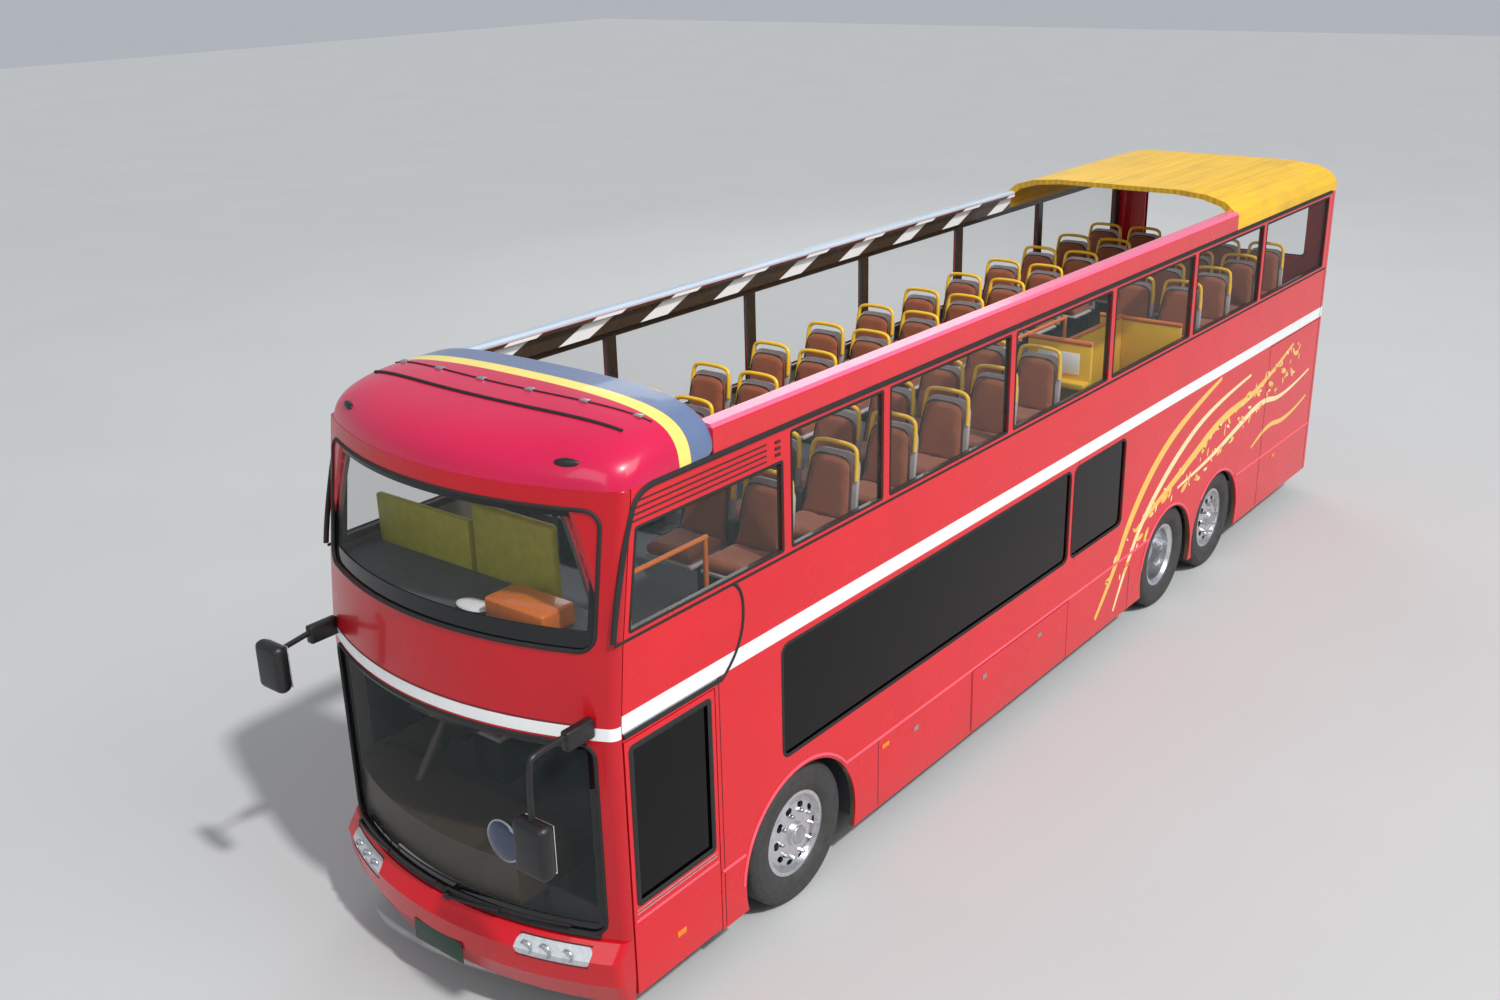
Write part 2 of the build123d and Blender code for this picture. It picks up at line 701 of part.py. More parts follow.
# Underframe: two rails raised over the axles, with crossmembers
rail_run = [
    (front_axle_x + 1600, front_rail_z + rail_height),
    (platform_back_x + 110, front_rail_z + rail_height),
    (platform_back_x + 5, low_rail_z + low_rail_height),
    (bulkhead_x - 25, low_rail_z + low_rail_height),
    (bulkhead_x - 105, rear_rail_z + rail_height),
    (tail_x + 250, rear_rail_z + rail_height),
    (tail_x + 250, rear_rail_z),
    (bulkhead_x - 195, rear_rail_z),
    (bulkhead_x - 125, low_rail_z),
    (platform_back_x + 80, low_rail_z),
    (platform_back_x + 200, front_rail_z),
    (front_axle_x + 1600, front_rail_z),
]
cross_members = [
    (1500, front_rail_z, rail_height, rail_y),
    (850, front_rail_z, rail_height, rail_y),
    (-600, front_rail_z, rail_height, rail_y),
    (-1500, low_rail_z, low_rail_height, floor_y),
    (-2600, low_rail_z, low_rail_height, moving_y),
    (-3900, low_rail_z, low_rail_height, floor_y),
    (-5250, rear_rail_z, rail_height, floor_y),
    (-6490, rear_rail_z, rail_height, floor_y),
    (-7750, rear_rail_z, rail_height, floor_y),
]
member_width = 80
with BuildPart() as underframe:
    for y in (rail_y + rail_width, -rail_y):
        with BuildSketch(side_plane(y)):
            with BuildLine():
                Polyline(*rail_run, close=True)
            make_face()
        extrude(amount=rail_width)
    for x, foot, height, reach in cross_members:
        member_x = front_axle_x + x
        block((member_x, member_x + member_width), (-reach, reach), (foot, foot + height))
keep(underframe, "underframe")

# Engine, as one plain block between the rear rails
engine_x = (tail_x + 300, tag_axle_x - 800)
engine_z = (480, rear_deck_z - platform_plate - 20)
with BuildPart() as engine_block:
    block(engine_x, (-rail_y + seat_fit, rail_y - seat_fit), engine_z)
keep(engine_block, "engine_block")

# Axles
hub_radius = 85
hub_inner = 68
beam_width = 90
beam_height = 100
beam_z = 340
eye_height = 120
beam_eye_radius = 50
bag_radius = 85
tag_tube_radius = 65
drive_housing_radius = 85
drive_hub_inner = 130
differential_radius = 190
tag_flange = 12
with BuildPart() as axles:
    with BuildSketch(Plane.YZ.offset(front_axle_x - beam_width / 2)):
        with BuildLine():
            Polyline(
                (-kingpin_y, axle_z + eye_height / 2),
                (-kingpin_y + 120, axle_z + eye_height / 2),
                (-kingpin_y + 260, beam_z + beam_height),
                (kingpin_y - 260, beam_z + beam_height),
                (kingpin_y - 120, axle_z + eye_height / 2),
                (kingpin_y, axle_z + eye_height / 2),
                (kingpin_y, axle_z - eye_height / 2),
                (kingpin_y - 100, axle_z - eye_height / 2),
                (kingpin_y - 240, beam_z),
                (-kingpin_y + 240, beam_z),
                (-kingpin_y + 100, axle_z - eye_height / 2),
                (-kingpin_y, axle_z - eye_height / 2),
                close=True,
            )
        make_face()
    extrude(amount=beam_width)
    with Locations((front_axle_x, kingpin_y, axle_z), (front_axle_x, -kingpin_y, axle_z)):
        Cylinder(beam_eye_radius, eye_height)
        Cylinder(kingpin_radius + running_fit, eye_height + 2, mode=Mode.SUBTRACT)
    for side in (1, -1):
        bag_y = side * (rail_y + rail_width / 2)
        bag_height = front_rail_z - seat_fit - beam_z - beam_height + 1
        with Locations((front_axle_x, bag_y, beam_z + beam_height - 1 + bag_height / 2)):
            Cylinder(bag_radius, bag_height)
    spindle_end = twin_y + twin_spacing / 2 - 60
    with Locations((drive_axle_x, 0, axle_z)):
        Cylinder(drive_tube_radius, 2 * spindle_end, rotation=(90, 0, 0))
        Cylinder(drive_housing_radius, 2 * (twin_y - drive_hub_inner - joint_gap), rotation=(90, 0, 0))
        Cylinder(differential_radius, 260, rotation=(90, 0, 0))
    with Locations((tag_axle_x, 0, axle_z)):
        Cylinder(spindle_radius, 2 * (single_y + 85), rotation=(90, 0, 0))
        Cylinder(tag_tube_radius, 2 * (single_y - hub_inner - joint_gap), rotation=(90, 0, 0))
    for x, radius in ((drive_axle_x, drive_housing_radius), (tag_axle_x, tag_tube_radius)):
        for side in (1, -1):
            bag_foot = axle_z + radius - 15
            bag_height = rear_rail_z - seat_fit - bag_foot
            with Locations((x, side * (rail_y + rail_width / 2), bag_foot + bag_height / 2)):
                Cylinder(bag_radius, bag_height)
keep(axles, "axles")

# Knuckles: a yoke round the beam's eye, with the kingpin and the spindle
lug_height = 30
yoke_out = 85
web_in = 58
for side, label in ((1, "left"), (-1, "right")):
    with BuildPart() as knuckle:
        with Locations((front_axle_x, side * kingpin_y, axle_z)):
            Cylinder(kingpin_radius, eye_height + 2 * joint_gap + 2 * lug_height)
        for foot in (axle_z + eye_height / 2 + joint_gap, axle_z - eye_height / 2 - joint_gap - lug_height):
            with Locations((front_axle_x, side * kingpin_y, foot + lug_height / 2)):
                Cylinder(beam_eye_radius - 5, lug_height)
            low, high = sorted((side * kingpin_y, side * (kingpin_y + yoke_out)))
            block((front_axle_x - 45, front_axle_x + 45), (low, high), (foot, foot + lug_height))
        low, high = sorted((side * (kingpin_y + web_in), side * (kingpin_y + yoke_out)))
        reach = eye_height / 2 + joint_gap + lug_height
        block((front_axle_x - 45, front_axle_x + 45), (low, high), (axle_z - reach, axle_z + reach))
        spindle_length = single_y + 85 - kingpin_y - web_in
        with Locations((front_axle_x, side * (kingpin_y + web_in + spindle_length / 2), axle_z)):
            Cylinder(spindle_radius, spindle_length, rotation=(90, 0, 0))
    keep(knuckle, f"knuckle_{label}")

# Wheel profiles: distance from the axle, and distance outwards from the tyre's middle
steer_rim_profile = [
    (spindle_radius + running_fit, -hub_inner),
    (hub_radius, -hub_inner),
    (hub_radius, 78),
    (150, 92),
    (222, 74),
    (250, 50),
    (250, -70),
    (277, -100),
    (305, -100),
    (305, -88),
    (285, -84),
    (262, -40),
    (262, 30),
    (285, 84),
    (305, 88),
    (305, 100),
    (277, 100),
    (266, 66),
    (228, 90),
    (150, 108),
    (hub_radius, 108),
    (hub_radius, 128),
    (0, 132),
    (0, 92),
    (spindle_radius + running_fit, 92),
]
twin_half_profile = [
    (110, -1),
    (225, -1),
    (250, 25),
    (250, 50),
    (277, 55),
    (305, 55),
    (305, 67),
    (285, 71),
    (262, 115),
    (262, 185),
    (285, 239),
    (305, 243),
    (305, 255),
    (277, 255),
    (250, 225),
    (238, 60),
    (238, 40),
    (220, 14),
    (110, 14),
]
twin_hub_profile = [
    (drive_tube_radius + running_fit, -drive_hub_inner),
    (112, -drive_hub_inner),
    (112, 120),
    (0, 135),
    (0, 105),
    (drive_tube_radius + running_fit, 105),
]
hole_ring_radius = 205


def wheel_plane(x, y, side):
    """A plane through the axle, whose own x runs upwards and own y outwards from the bus."""
    return Plane((x, y, axle_z), x_dir=(0, 0, 1), z_dir=(-side, 0, 0))


def turned(profile, x, y, side):
    """The profile as a sketch in the wheel's plane."""
    with BuildSketch(wheel_plane(x, y, side)) as outline:
        with BuildLine():
            Polyline(*profile, close=True)
        make_face()
    return outline.sketch


def tyre(x, y, side):
    """One tyre as a solid ring whose beads sit on the rim."""
    half = tyre_width / 2
    with BuildSketch(wheel_plane(x, y, side)) as outline:
        with BuildLine():
            for w in (1, -1):
                Line((tyre_bead, 0), (tyre_bead, w * 83.6))
                Line((tyre_bead, w * 83.6), (305.3, w * 87.6))
                Line((305.3, w * 87.6), (305.3, w * 101))
                ThreePointArc((305.3, w * 101), (400, w * half), (488, w * (half - 24)))
                Line((488, w * (half - 24)), (tyre_radius, w * (half - 46)))
                Line((tyre_radius, w * (half - 46)), (tyre_radius, 0))
        make_face()
    return outline.sketch


def axle_line(x, y):
    return Axis((x, y, axle_z), (0, 1, 0))


wheel_places = [("front", front_axle_x), ("tag", tag_axle_x)]
for place, x in wheel_places:
    for side, label in ((1, "left"), (-1, "right")):
        y = side * single_y
        with BuildPart() as rim:
            revolve(turned(steer_rim_profile, x, y, side), axis=axle_line(x, y))
            with BuildSketch(Plane((x, y, axle_z), x_dir=(1, 0, 0), z_dir=(0, side, 0))) as holes:
                with PolarLocations(hole_ring_radius, hand_holes):
                    SlotOverall(64, 40, rotation=90)
            extrude(holes.sketch, amount=140, mode=Mode.SUBTRACT)
        keep(rim, f"{place}_rim_{label}")
        with BuildPart() as ring:
            revolve(tyre(x, y, side), axis=axle_line(x, y))
        keep(ring, f"{place}_tyre_{label}")

for side, label in ((1, "left"), (-1, "right")):
    y = side * twin_y
    with BuildPart() as rim:
        revolve(turned(twin_half_profile, drive_axle_x, y, side), axis=axle_line(drive_axle_x, y))
        revolve(turned(twin_half_profile, drive_axle_x, y, -side), axis=axle_line(drive_axle_x, y))
        revolve(turned(twin_hub_profile, drive_axle_x, y, side), axis=axle_line(drive_axle_x, y))
        with BuildSketch(Plane((drive_axle_x, y, axle_z), x_dir=(1, 0, 0), z_dir=(0, side, 0))) as holes:
            with PolarLocations(hole_ring_radius - 25, hand_holes):
                SlotOverall(56, 36, rotation=90)
        extrude(holes.sketch, amount=30, both=True, mode=Mode.SUBTRACT)
    keep(rim, f"drive_rims_{label}")
    with BuildPart() as rings:
        for offset in (twin_spacing / 2, -twin_spacing / 2):
            revolve(tyre(drive_axle_x, y + offset, side), axis=axle_line(drive_axle_x, y + offset))
    keep(rings, f"drive_tyres_{label}")

# Seats, two to a unit: deck height, row places behind (-) the front axle, sides and handles
seat_width = 440
seat_pitch = 470
seat_pair_y = 705
driver_x = front_axle_x + 900
driver_y = -650
handle_z = 900
far_rows = [-250 - 775 * row for row in range(12)]
near_rows = [-100 - 715 * row for row in range(6)] + [-6500 - 715 * row for row in range(4)]
low_rows = [-1300 - 760 * row for row in range(3)]


def seat_pair(x, y, floor, handles):
    """Two seats facing forwards on one pedestal. x is the top of their backs."""
    side_profile = [(-10, 900), (40, 900), (130, 470), (470, 480), (480, 400), (70, 380), (30, 480)]
    with BuildPart() as pair:
        for seat_y in (y - seat_pitch / 2, y + seat_pitch / 2):
            with BuildSketch(side_plane(seat_y + seat_width / 2)):
                with BuildLine():
                    Polyline(*[(x + a, floor + b) for a, b in side_profile], close=True)
                make_face()
            extrude(amount=seat_width)
            if handles:
                with BuildSketch(Plane.YZ.offset(x)):
                    with BuildLine():
                        Polyline(
                            (seat_y - 150, floor + handle_z - 1),
                            (seat_y - 130, floor + handle_z + 55),
                            (seat_y + 130, floor + handle_z + 55),
                            (seat_y + 150, floor + handle_z - 1),
                            (seat_y + 125, floor + handle_z - 1),
                            (seat_y + 110, floor + handle_z + 33),
                            (seat_y - 110, floor + handle_z + 33),
                            (seat_y - 125, floor + handle_z - 1),
                            close=True,
                        )
                    make_face()
                extrude(amount=24)
        block((x + 150, x + 400), (y - 250, y + 250), (floor + seat_fit, floor + 420))
    return pair.part


with BuildPart() as seats:
    for row in far_rows:
        add(seat_pair(front_axle_x + row, -seat_pair_y, deck_z, True))
    for row in near_rows:
        add(seat_pair(front_axle_x + row, seat_pair_y, deck_z, True))
    for row in low_rows:
        for side in (1, -1):
            add(seat_pair(front_axle_x + row, side * seat_pair_y, saloon_z, False))
    block((driver_x - 100, driver_x + 150), (driver_y - 150, driver_y + 150), (platform_z + seat_fit, platform_z + 400))
    block((driver_x - 240, driver_x + 240), (driver_y - 240, driver_y + 240), (platform_z + 390, platform_z + 500))
    block((driver_x - 305, driver_x - 195), (driver_y - 240, driver_y + 240), (platform_z + 440, platform_z + 1100))
keep(seats, "seats")

# Dashboard with the steering column and wheel
dash_back_x = front_axle_x + 1450
dash_left = 560
wheel_centre = (front_axle_x + 1380, driver_y, 1400)
with BuildPart() as dashboard:
    dash = nose_outline(
        platform_z + seat_fit, front_axle_x + low_nose - wall - 12, floor_y - 30, dash_back_x, nose_corner
    )
    extrude(dash, amount=300)
    block((dash_back_x - 1, nose_x), (dash_left, half_width), (platform_z - 1, platform_z + 400), Mode.SUBTRACT)
    wheel_tilt = Plane(wheel_centre, x_dir=(0, 1, 0), z_dir=(-0.6, 0, 0.8))
    with BuildSketch(wheel_tilt):
        Circle(240)
        Circle(212, mode=Mode.SUBTRACT)
        Rectangle(440, 40)
    extrude(amount=26)
    with BuildSketch(wheel_tilt):
        Circle(34)
    extrude(amount=-430)
keep(dashboard, "dashboard")

# Handrails round the front seats and the stairwell
tube_radius = 16
with BuildPart() as handrails:
    for x, y, height in ((1200, 900, 700), (500, 900, 700), (-3950, 560, 900), (-4850, 560, 900)):
        with Locations((front_axle_x + x, y, deck_z + seat_fit + height / 2)):
            Cylinder(tube_radius, height)
    for back, front, height in ((500, 1200, 700), (-4850, -3950, 900)):
        y = 900 if back > 0 else 560
        with Locations((front_axle_x + (back + front) / 2, y, deck_z + height)):
            Cylinder(tube_radius, front - back + 2 * tube_radius, rotation=(0, 90, 0))
keep(handrails, "handrails")

# Mirrors on arms from the front corners
bracket_y = (1110, 1170)
bracket_z = 2130
arm_x = front_axle_x + 2110
arm_length = 330
drop_x = front_axle_x + 2260
drop_length = 440
mirror_head = (120, 230, 340)
mirror_drop = 530
with BuildPart() as mirrors:
    for side in (1, -1):
        low, high = sorted((side * bracket_y[0], side * bracket_y[1]))
        middle = (low + high) / 2
        add(nose_strip((low, high), belt_z - 70, 70, seat_fit, 60))
        block((arm_x - 280, arm_x - 90), (low, high), (bracket_z - 60, bracket_z + 60))
        with Locations((arm_x, middle, bracket_z + 30)):
            Cylinder(tube_radius, arm_length, rotation=(0, 90, 0))
        with Locations((drop_x, middle, bracket_z - 180)):
            Cylinder(tube_radius, drop_length)
        with Locations((nose_x + mirror_ahead - mirror_head[0] / 2, middle, bracket_z - mirror_drop)):
            Box(*mirror_head)
keep(mirrors, "mirrors")

# Wipers along the foot of the lower windscreen, each with a pivot on the frame below it
blade_height = 24
pivot_width = 50
wiper_spans = [(-1060, -20), (20, 960)]
with BuildPart() as wipers:
    for low, high in wiper_spans:
        add(nose_strip((low, high), low_screen_z[0] + 20, blade_height, 8, blade_height))
        add(nose_strip((low, low + pivot_width), screen_foot_z + 5, 60, seat_fit, 31.7))
keep(wipers, "wipers")
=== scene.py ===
"""Finishes and details of an open top double decker bus, laid out as an add-on and run as a script."""

from math import cos, pi, radians, sin
import bpy
from bpy.props import FloatProperty, FloatVectorProperty, IntProperty, PointerProperty
from mathutils import Matrix, Vector


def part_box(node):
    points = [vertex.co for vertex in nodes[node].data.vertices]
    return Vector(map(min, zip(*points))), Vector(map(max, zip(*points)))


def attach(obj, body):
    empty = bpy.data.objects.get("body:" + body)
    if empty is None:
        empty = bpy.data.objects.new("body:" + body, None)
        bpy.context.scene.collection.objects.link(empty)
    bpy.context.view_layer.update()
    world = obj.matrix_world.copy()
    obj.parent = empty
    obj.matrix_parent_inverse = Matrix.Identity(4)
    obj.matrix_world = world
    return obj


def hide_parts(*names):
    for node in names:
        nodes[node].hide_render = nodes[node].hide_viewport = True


bl_info = {
    "name": "Open top bus finishes",
    "version": (1, 0, 0),
    "blender": (4, 5, 0),
    "location": "View3D > Sidebar > Bus",
    "description": "Adds paint, trim, seats, wheels and lamps to the packed bus",
    "category": "Object",
}

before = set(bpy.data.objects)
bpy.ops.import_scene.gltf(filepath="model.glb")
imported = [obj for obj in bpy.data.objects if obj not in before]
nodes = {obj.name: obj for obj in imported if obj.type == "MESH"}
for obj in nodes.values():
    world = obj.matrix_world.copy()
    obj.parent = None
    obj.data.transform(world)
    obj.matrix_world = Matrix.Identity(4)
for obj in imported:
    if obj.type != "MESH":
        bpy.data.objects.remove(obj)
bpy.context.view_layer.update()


def middle(node):
    """The middle of a CAD node's box."""
    low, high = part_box(node)
    return (low + high) / 2


FRONT_AXLE = middle("front_tyre_left").x
DRIVE_AXLE = middle("drive_tyres_left").x
TAG_AXLE = middle("tag_tyre_left").x
AXLE_HEIGHT = middle("front_tyre_left").z
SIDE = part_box("lower_side_left")[1].y
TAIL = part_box("rear_wall")[0].x
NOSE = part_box("bumper")[1].x
CAP_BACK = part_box("front_roof")[0].x
RAIL_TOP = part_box("top_rails")[1].z
ON_SIDE = SIDE + 0.0005
SIDES = (("left", 1), ("right", -1))

# Heights of the floors, of the nose's bends, of the white bands and of the side windows
DECK = 2.06
SALOON = 0.43
BELT = 2.10
SCREEN_FOOT = 2.54
SIDE_BAND = (2.055, 2.165)
FRONT_BAND = (2.030, 2.110)
WINDOW_FOOT = 2.64
WINDOW_HEAD = 3.385
ARCH_CENTRE = 0.43
LAMP = (0.56, 0.67)

# Thickness of a side wall's skin, and the nose's radius in plan
SKIN = 0.012
NOSE_RADIUS = 2.65


# Sizes and colours that a user would change


def colour(name, description, default):
    return FloatVectorProperty(
        name=name, description=description, subtype="COLOR", size=3, min=0, max=1, default=default
    )


def length(name, description, default):
    return FloatProperty(
        name=name, description=description, subtype="DISTANCE", unit="LENGTH", default=default
    )


class BodyColours(bpy.types.PropertyGroup):
    """Paint and glass colours of the body."""

    red: colour("Red", "Main body colour", (0.64, 0.003, 0.012))
    # The rib pink is a painted highlight along the raised ribs and arch lips
    pink: colour("Rib pink", "Highlighted rib line along the sides", (0.82, 0.09, 0.13))
    white: colour("White", "Stripe along the belt", (0.86, 0.86, 0.85))
    yellow: colour("Yellow", "Rear roof and grab handles", (0.86, 0.50, 0.02))
    cream: colour("Cream", "Band across the front roof", (0.90, 0.72, 0.16))
    slate: colour("Slate blue", "Rear edge of the front roof", (0.12, 0.17, 0.30))
    gold: colour("Gold", "Ribbons and leaves over the rear wheels", (0.86, 0.50, 0.06))
    straw: colour("Straw", "Second colour of the ribbons", (0.92, 0.72, 0.36))
    tint: colour("Glass tint", "Colour of the clear glass", (0.20, 0.25, 0.25))
    lining: colour("Lining", "Inside of the side walls", (0.10, 0.09, 0.065))
    reveal: colour("Reveal", "Edges and inside of the window posts", (0.030, 0.022, 0.014))
    # The cap's red is tinted magenta as a painted sky reflection on the front roof
    cap: colour("Cap", "Top of the front roof", (0.56, 0.006, 0.060))
    # Painted highlight: a pinker red laid on the top of the left rail
    rail_top_highlight: colour("Rail highlight", "Top of the left rail", (0.78, 0.12, 0.24))
    silver: colour("Silver", "Inner lip and top of the rails", (0.50, 0.58, 0.66))
    lime: colour("Lime", "Panels inside the upper deck", (0.40, 0.36, 0.02))


class SeatSizes(bpy.types.PropertyGroup):
    """Sizes and colours of the seats."""

    cover: colour("Cover", "Seat cover", (0.30, 0.075, 0.025))
    shell: colour("Shell", "Rim and rear of the seat backs", (0.42, 0.37, 0.37))
    piping: colour("Piping", "Dark seam round the pads", (0.035, 0.018, 0.012))
    width: length("Width", "Width of one seat", 0.44)
    spacing: length("Spacing", "Distance between two seats of a pair", 0.47)
    pair_place: length("Pair place", "Distance of a pair from the bus's middle", 0.705)
    handle_radius: length("Handle radius", "Radius of the grab handle's tube", 0.016)
    crown: FloatProperty(
        name="Crown", description="Cloth pressure that fills a pad", default=3.5, min=0, max=20
    )


class TrimSizes(bpy.types.PropertyGroup):
    """Sizes of seams, rubber and wheel details."""

    rubber: length("Rubber radius", "Half width of the window rubber", 0.013)
    seam: length("Seam radius", "Half width of a panel seam", 0.004)
    rib: length("Rib radius", "Half width of the rib line", 0.011)
    rib_height: length("Rib height", "Height of the rib line", 0.83)
    nut_ring: length("Nut ring", "Radius of the ring of wheel nuts", 0.1675)
    nuts: IntProperty(name="Nuts", description="Nuts on one wheel", default=10, min=5, max=12)
    groove_depth: length("Groove depth", "Depth of the tread grooves", 0.012)


def body_colours():
    return bpy.context.scene.bus_colours


def seat_sizes():
    return bpy.context.scene.bus_seats


def trim_sizes():
    return bpy.context.scene.bus_trim


# Ways to build a material

materials = {}


class Finish:
    """A procedural material on Object coordinates, with short ways to add and join its nodes."""

    def __init__(self, name):
        self.material = materials[name] = bpy.data.materials.new(name)
        self.material.use_nodes = True
        self.tree = self.material.node_tree
        self.shader = self.tree.nodes["Principled BSDF"]
        self.place = self.add("ShaderNodeTexCoord").outputs["Object"]

    def add(self, kind, **settings):
        node = self.tree.nodes.new(kind)
        for key, value in settings.items():
            setattr(node, key, value)
        return node

    def put(self, value, socket):
        """Joins an output to a socket, or sets the socket to a number or colour."""
        if isinstance(value, bpy.types.NodeSocket):
            self.tree.links.new(value, socket)
        elif hasattr(value, "__len__"):
            socket.default_value = (*value, 1)[: len(socket.default_value)]
        else:
            socket.default_value = value

    def uniform(self, **values):
        """Sets numbers that are the same all over on the shader's own sockets."""
        for key, value in values.items():
            self.put(value, self.shader.inputs[key.replace("_", " ").title().replace("Ior", "IOR")])

    def math(self, operation, first, second=0.0, third=0.0, clamp=False):
        node = self.add("ShaderNodeMath", operation=operation, use_clamp=clamp)
        for value, socket in zip((first, second, third), node.inputs):
            self.put(value, socket)
        return node.outputs[0]

    def axis(self, letter):
        node = self.add("ShaderNodeSeparateXYZ")
        self.put(self.place, node.inputs[0])
        return node.outputs[letter]

    def noise(self, scale, detail=3.0, stretch=(1, 1, 1)):
        mapping = self.add("ShaderNodeMapping")
        self.put(self.place, mapping.inputs["Vector"])
        mapping.inputs["Scale"].default_value = stretch
        node = self.add("ShaderNodeTexNoise")
        self.put(mapping.outputs[0], node.inputs["Vector"])
        node.inputs["Scale"].default_value = scale
        node.inputs["Detail"].default_value = detail
        return node.outputs["Fac"]

    def between(self, value, low, high, soft=0.002):
        """1 where the value is between low and high, with soft edges."""
        rise = self.math("MULTIPLY_ADD", value, 1 / soft, -low / soft, clamp=True)
        fall = self.math("MULTIPLY_ADD", value, -1 / soft, high / soft, clamp=True)
        return self.math("MULTIPLY", rise, fall)

    def spread(self, value, low, high):
        """Maps 0 to 1 onto low to high."""
        return self.math("MULTIPLY_ADD", value, high - low, low)

    def mix(self, factor, first, second):
        node = self.add("ShaderNodeMix", data_type="RGBA")
        self.put(factor, node.inputs[0])
        self.put(first, node.inputs[6])
        self.put(second, node.inputs[7])
        return node.outputs[2]

    def clouds(self, scale, detail, base, dark, light):
        """The base colour between a dark and a light share of it, in soft clouds."""
        return self.mix(self.noise(scale, detail), tinted(base, dark), tinted(base, light))

    def colour(self, value):
        self.put(value, self.shader.inputs["Base Color"])

    def roughness(self, scale, detail, low, high, stretch=(1, 1, 1)):
        """Roughness that wanders between two values."""
        value = self.spread(self.noise(scale, detail, stretch), low, high)
        self.put(value, self.shader.inputs["Roughness"])

    def bump(self, height, distance, strength=0.5):
        node = self.add("ShaderNodeBump")
        node.inputs["Strength"].default_value = strength
        node.inputs["Distance"].default_value = distance
        self.put(height, node.inputs["Height"])
        self.put(node.outputs[0], self.shader.inputs["Normal"])


def tinted(shade, factor):
    return tuple(min(1, part * factor) for part in shade)


def behind_side(finish):
    """1 behind the outer skin of the side walls."""
    return finish.between(finish.math("ABSOLUTE", finish.axis("Y")), -1, SIDE - SKIN, 0.001)


def behind_nose(finish):
    """1 behind the outer skin of the curved, raked front."""
    across = finish.math("ABSOLUTE", finish.axis("Y"))
    height = finish.axis("Z")
    square = finish.math("MULTIPLY", across, across)
    arc = finish.math("SQRT", finish.math("MULTIPLY_ADD", square, -1, NOSE_RADIUS**2))
    rise = SCREEN_FOOT - BELT
    share = finish.math("MULTIPLY_ADD", height, 1 / rise, -BELT / rise, clamp=True)
    over_foot = finish.math("MAXIMUM", finish.math("SUBTRACT", height, SCREEN_FOOT), 0)
    face = finish.math("SUBTRACT", arc, finish.math("MULTIPLY", share, 0.045))
    face = finish.math("SUBTRACT", face, finish.math("MULTIPLY", over_foot, 0.15))
    middle_face = FRONT_AXLE + 2.03 - NOSE_RADIUS
    depth = finish.math("ADD", finish.math("SUBTRACT", face, finish.axis("X")), middle_face)
    inner = finish.between(across, -1, 1.2008, 0.0005)
    return finish.math("MULTIPLY", finish.between(depth, 0.030, 9, 0.004), inner)


def paint(name, base, bands=(), coat=0.35, dust=True, lining=None, behind=behind_side):
    """Glossy coach paint with faint cloudiness, dust low down, and bands of other colours.
    Each band is (axis letter, low, high, colour). Behind the outer skin a lining colour shows."""
    finish = Finish(name)
    shade = finish.clouds(1.7, 4, base, 0.88, 1.10)
    for letter, low, high, band_colour in bands:
        inside = finish.between(finish.axis(letter), low, high)
        shade = finish.mix(inside, shade, finish.clouds(5, 3, band_colour, 0.9, 1))
    if dust:
        low_down = finish.math("MULTIPLY_ADD", finish.axis("Z"), -2.4, 1.5, clamp=True)
        specks = finish.math("MULTIPLY", low_down, finish.noise(9, 6))
        shade = finish.mix(finish.math("MULTIPLY", specks, 0.25), shade, (0.20, 0.08, 0.06))
    if lining:
        cabin = finish.clouds(8, 5, lining, 0.7, 1.2)
        shade = finish.mix(behind(finish), shade, cabin)
    finish.colour(shade)
    finish.roughness(6, 5, 0.22, 0.36)
    finish.bump(finish.noise(40, 1), 0.0006, 0.06)
    finish.uniform(coat_weight=coat, coat_roughness=0.05, specular_ior_level=0.32)


def lamp_glass(name):
    """Clear headlamps at the front, and tail lamps in red, amber and white from the top down."""
    finish = Finish(name)
    height = finish.axis("Z")
    ribs = finish.math("SINE", finish.math("MULTIPLY", finish.axis("Y"), 420))
    tail = finish.mix(finish.between(height, 0.90, 1.07), (0.62, 0.62, 0.60), (0.80, 0.20, 0.01))
    tail = finish.mix(finish.between(height, 1.07, 3), tail, (0.42, 0.006, 0.006))
    front = finish.mix(finish.noise(30, 4), (0.30, 0.32, 0.34), (0.60, 0.62, 0.64))
    finish.colour(finish.mix(finish.between(finish.axis("X"), -99, 0), front, tail))
    finish.roughness(40, 2, 0.06, 0.14)
    finish.bump(ribs, 0.0010, 0.35)


def plastic(name, base, rough=0.45, grain=420, depth=0.0006):
    """Moulded plastic with a fine grain."""
    finish = Finish(name)
    finish.colour(finish.clouds(14, 5, base, 0.75, 1.3))
    finish.roughness(30, 4, rough - 0.08, rough + 0.10)
    finish.bump(finish.noise(grain, 3), depth, 0.4)


def metal(name, base, rough=0.3, scratch=(60, 60, 60)):
    """Bare metal with fine scratches and cloudy wear."""
    finish = Finish(name)
    finish.colour(finish.clouds(22, 6, base, 0.72, 1.1))
    finish.roughness(8, 6, rough - 0.08, rough + 0.16, scratch)
    finish.bump(finish.noise(30, 4, scratch), 0.0004, 0.2)
    finish.uniform(metallic=1.0)


def clear_glass(name, shade, see_through, edges=None):
    """Tinted glass, with a black printed border where edges gives the clear part's limits."""
    finish = Finish(name)
    finish.roughness(3, 3, 0.02, 0.06)
    if edges:
        reach, *heights = edges
        across = finish.math("ABSOLUTE", finish.axis("Y"))
        panes = [finish.between(finish.axis("Z"), low, high) for low, high in heights]
        clear = finish.math("MULTIPLY", finish.math("ADD", *panes), finish.between(across, -1, reach))
        finish.colour(finish.mix(clear, (0.006, 0.006, 0.007), shade))
        finish.put(finish.spread(clear, 1.0, see_through), finish.shader.inputs["Alpha"])
    else:
        finish.colour(finish.clouds(0.8, 2, shade, 0.9, 1))
        finish.uniform(alpha=see_through)


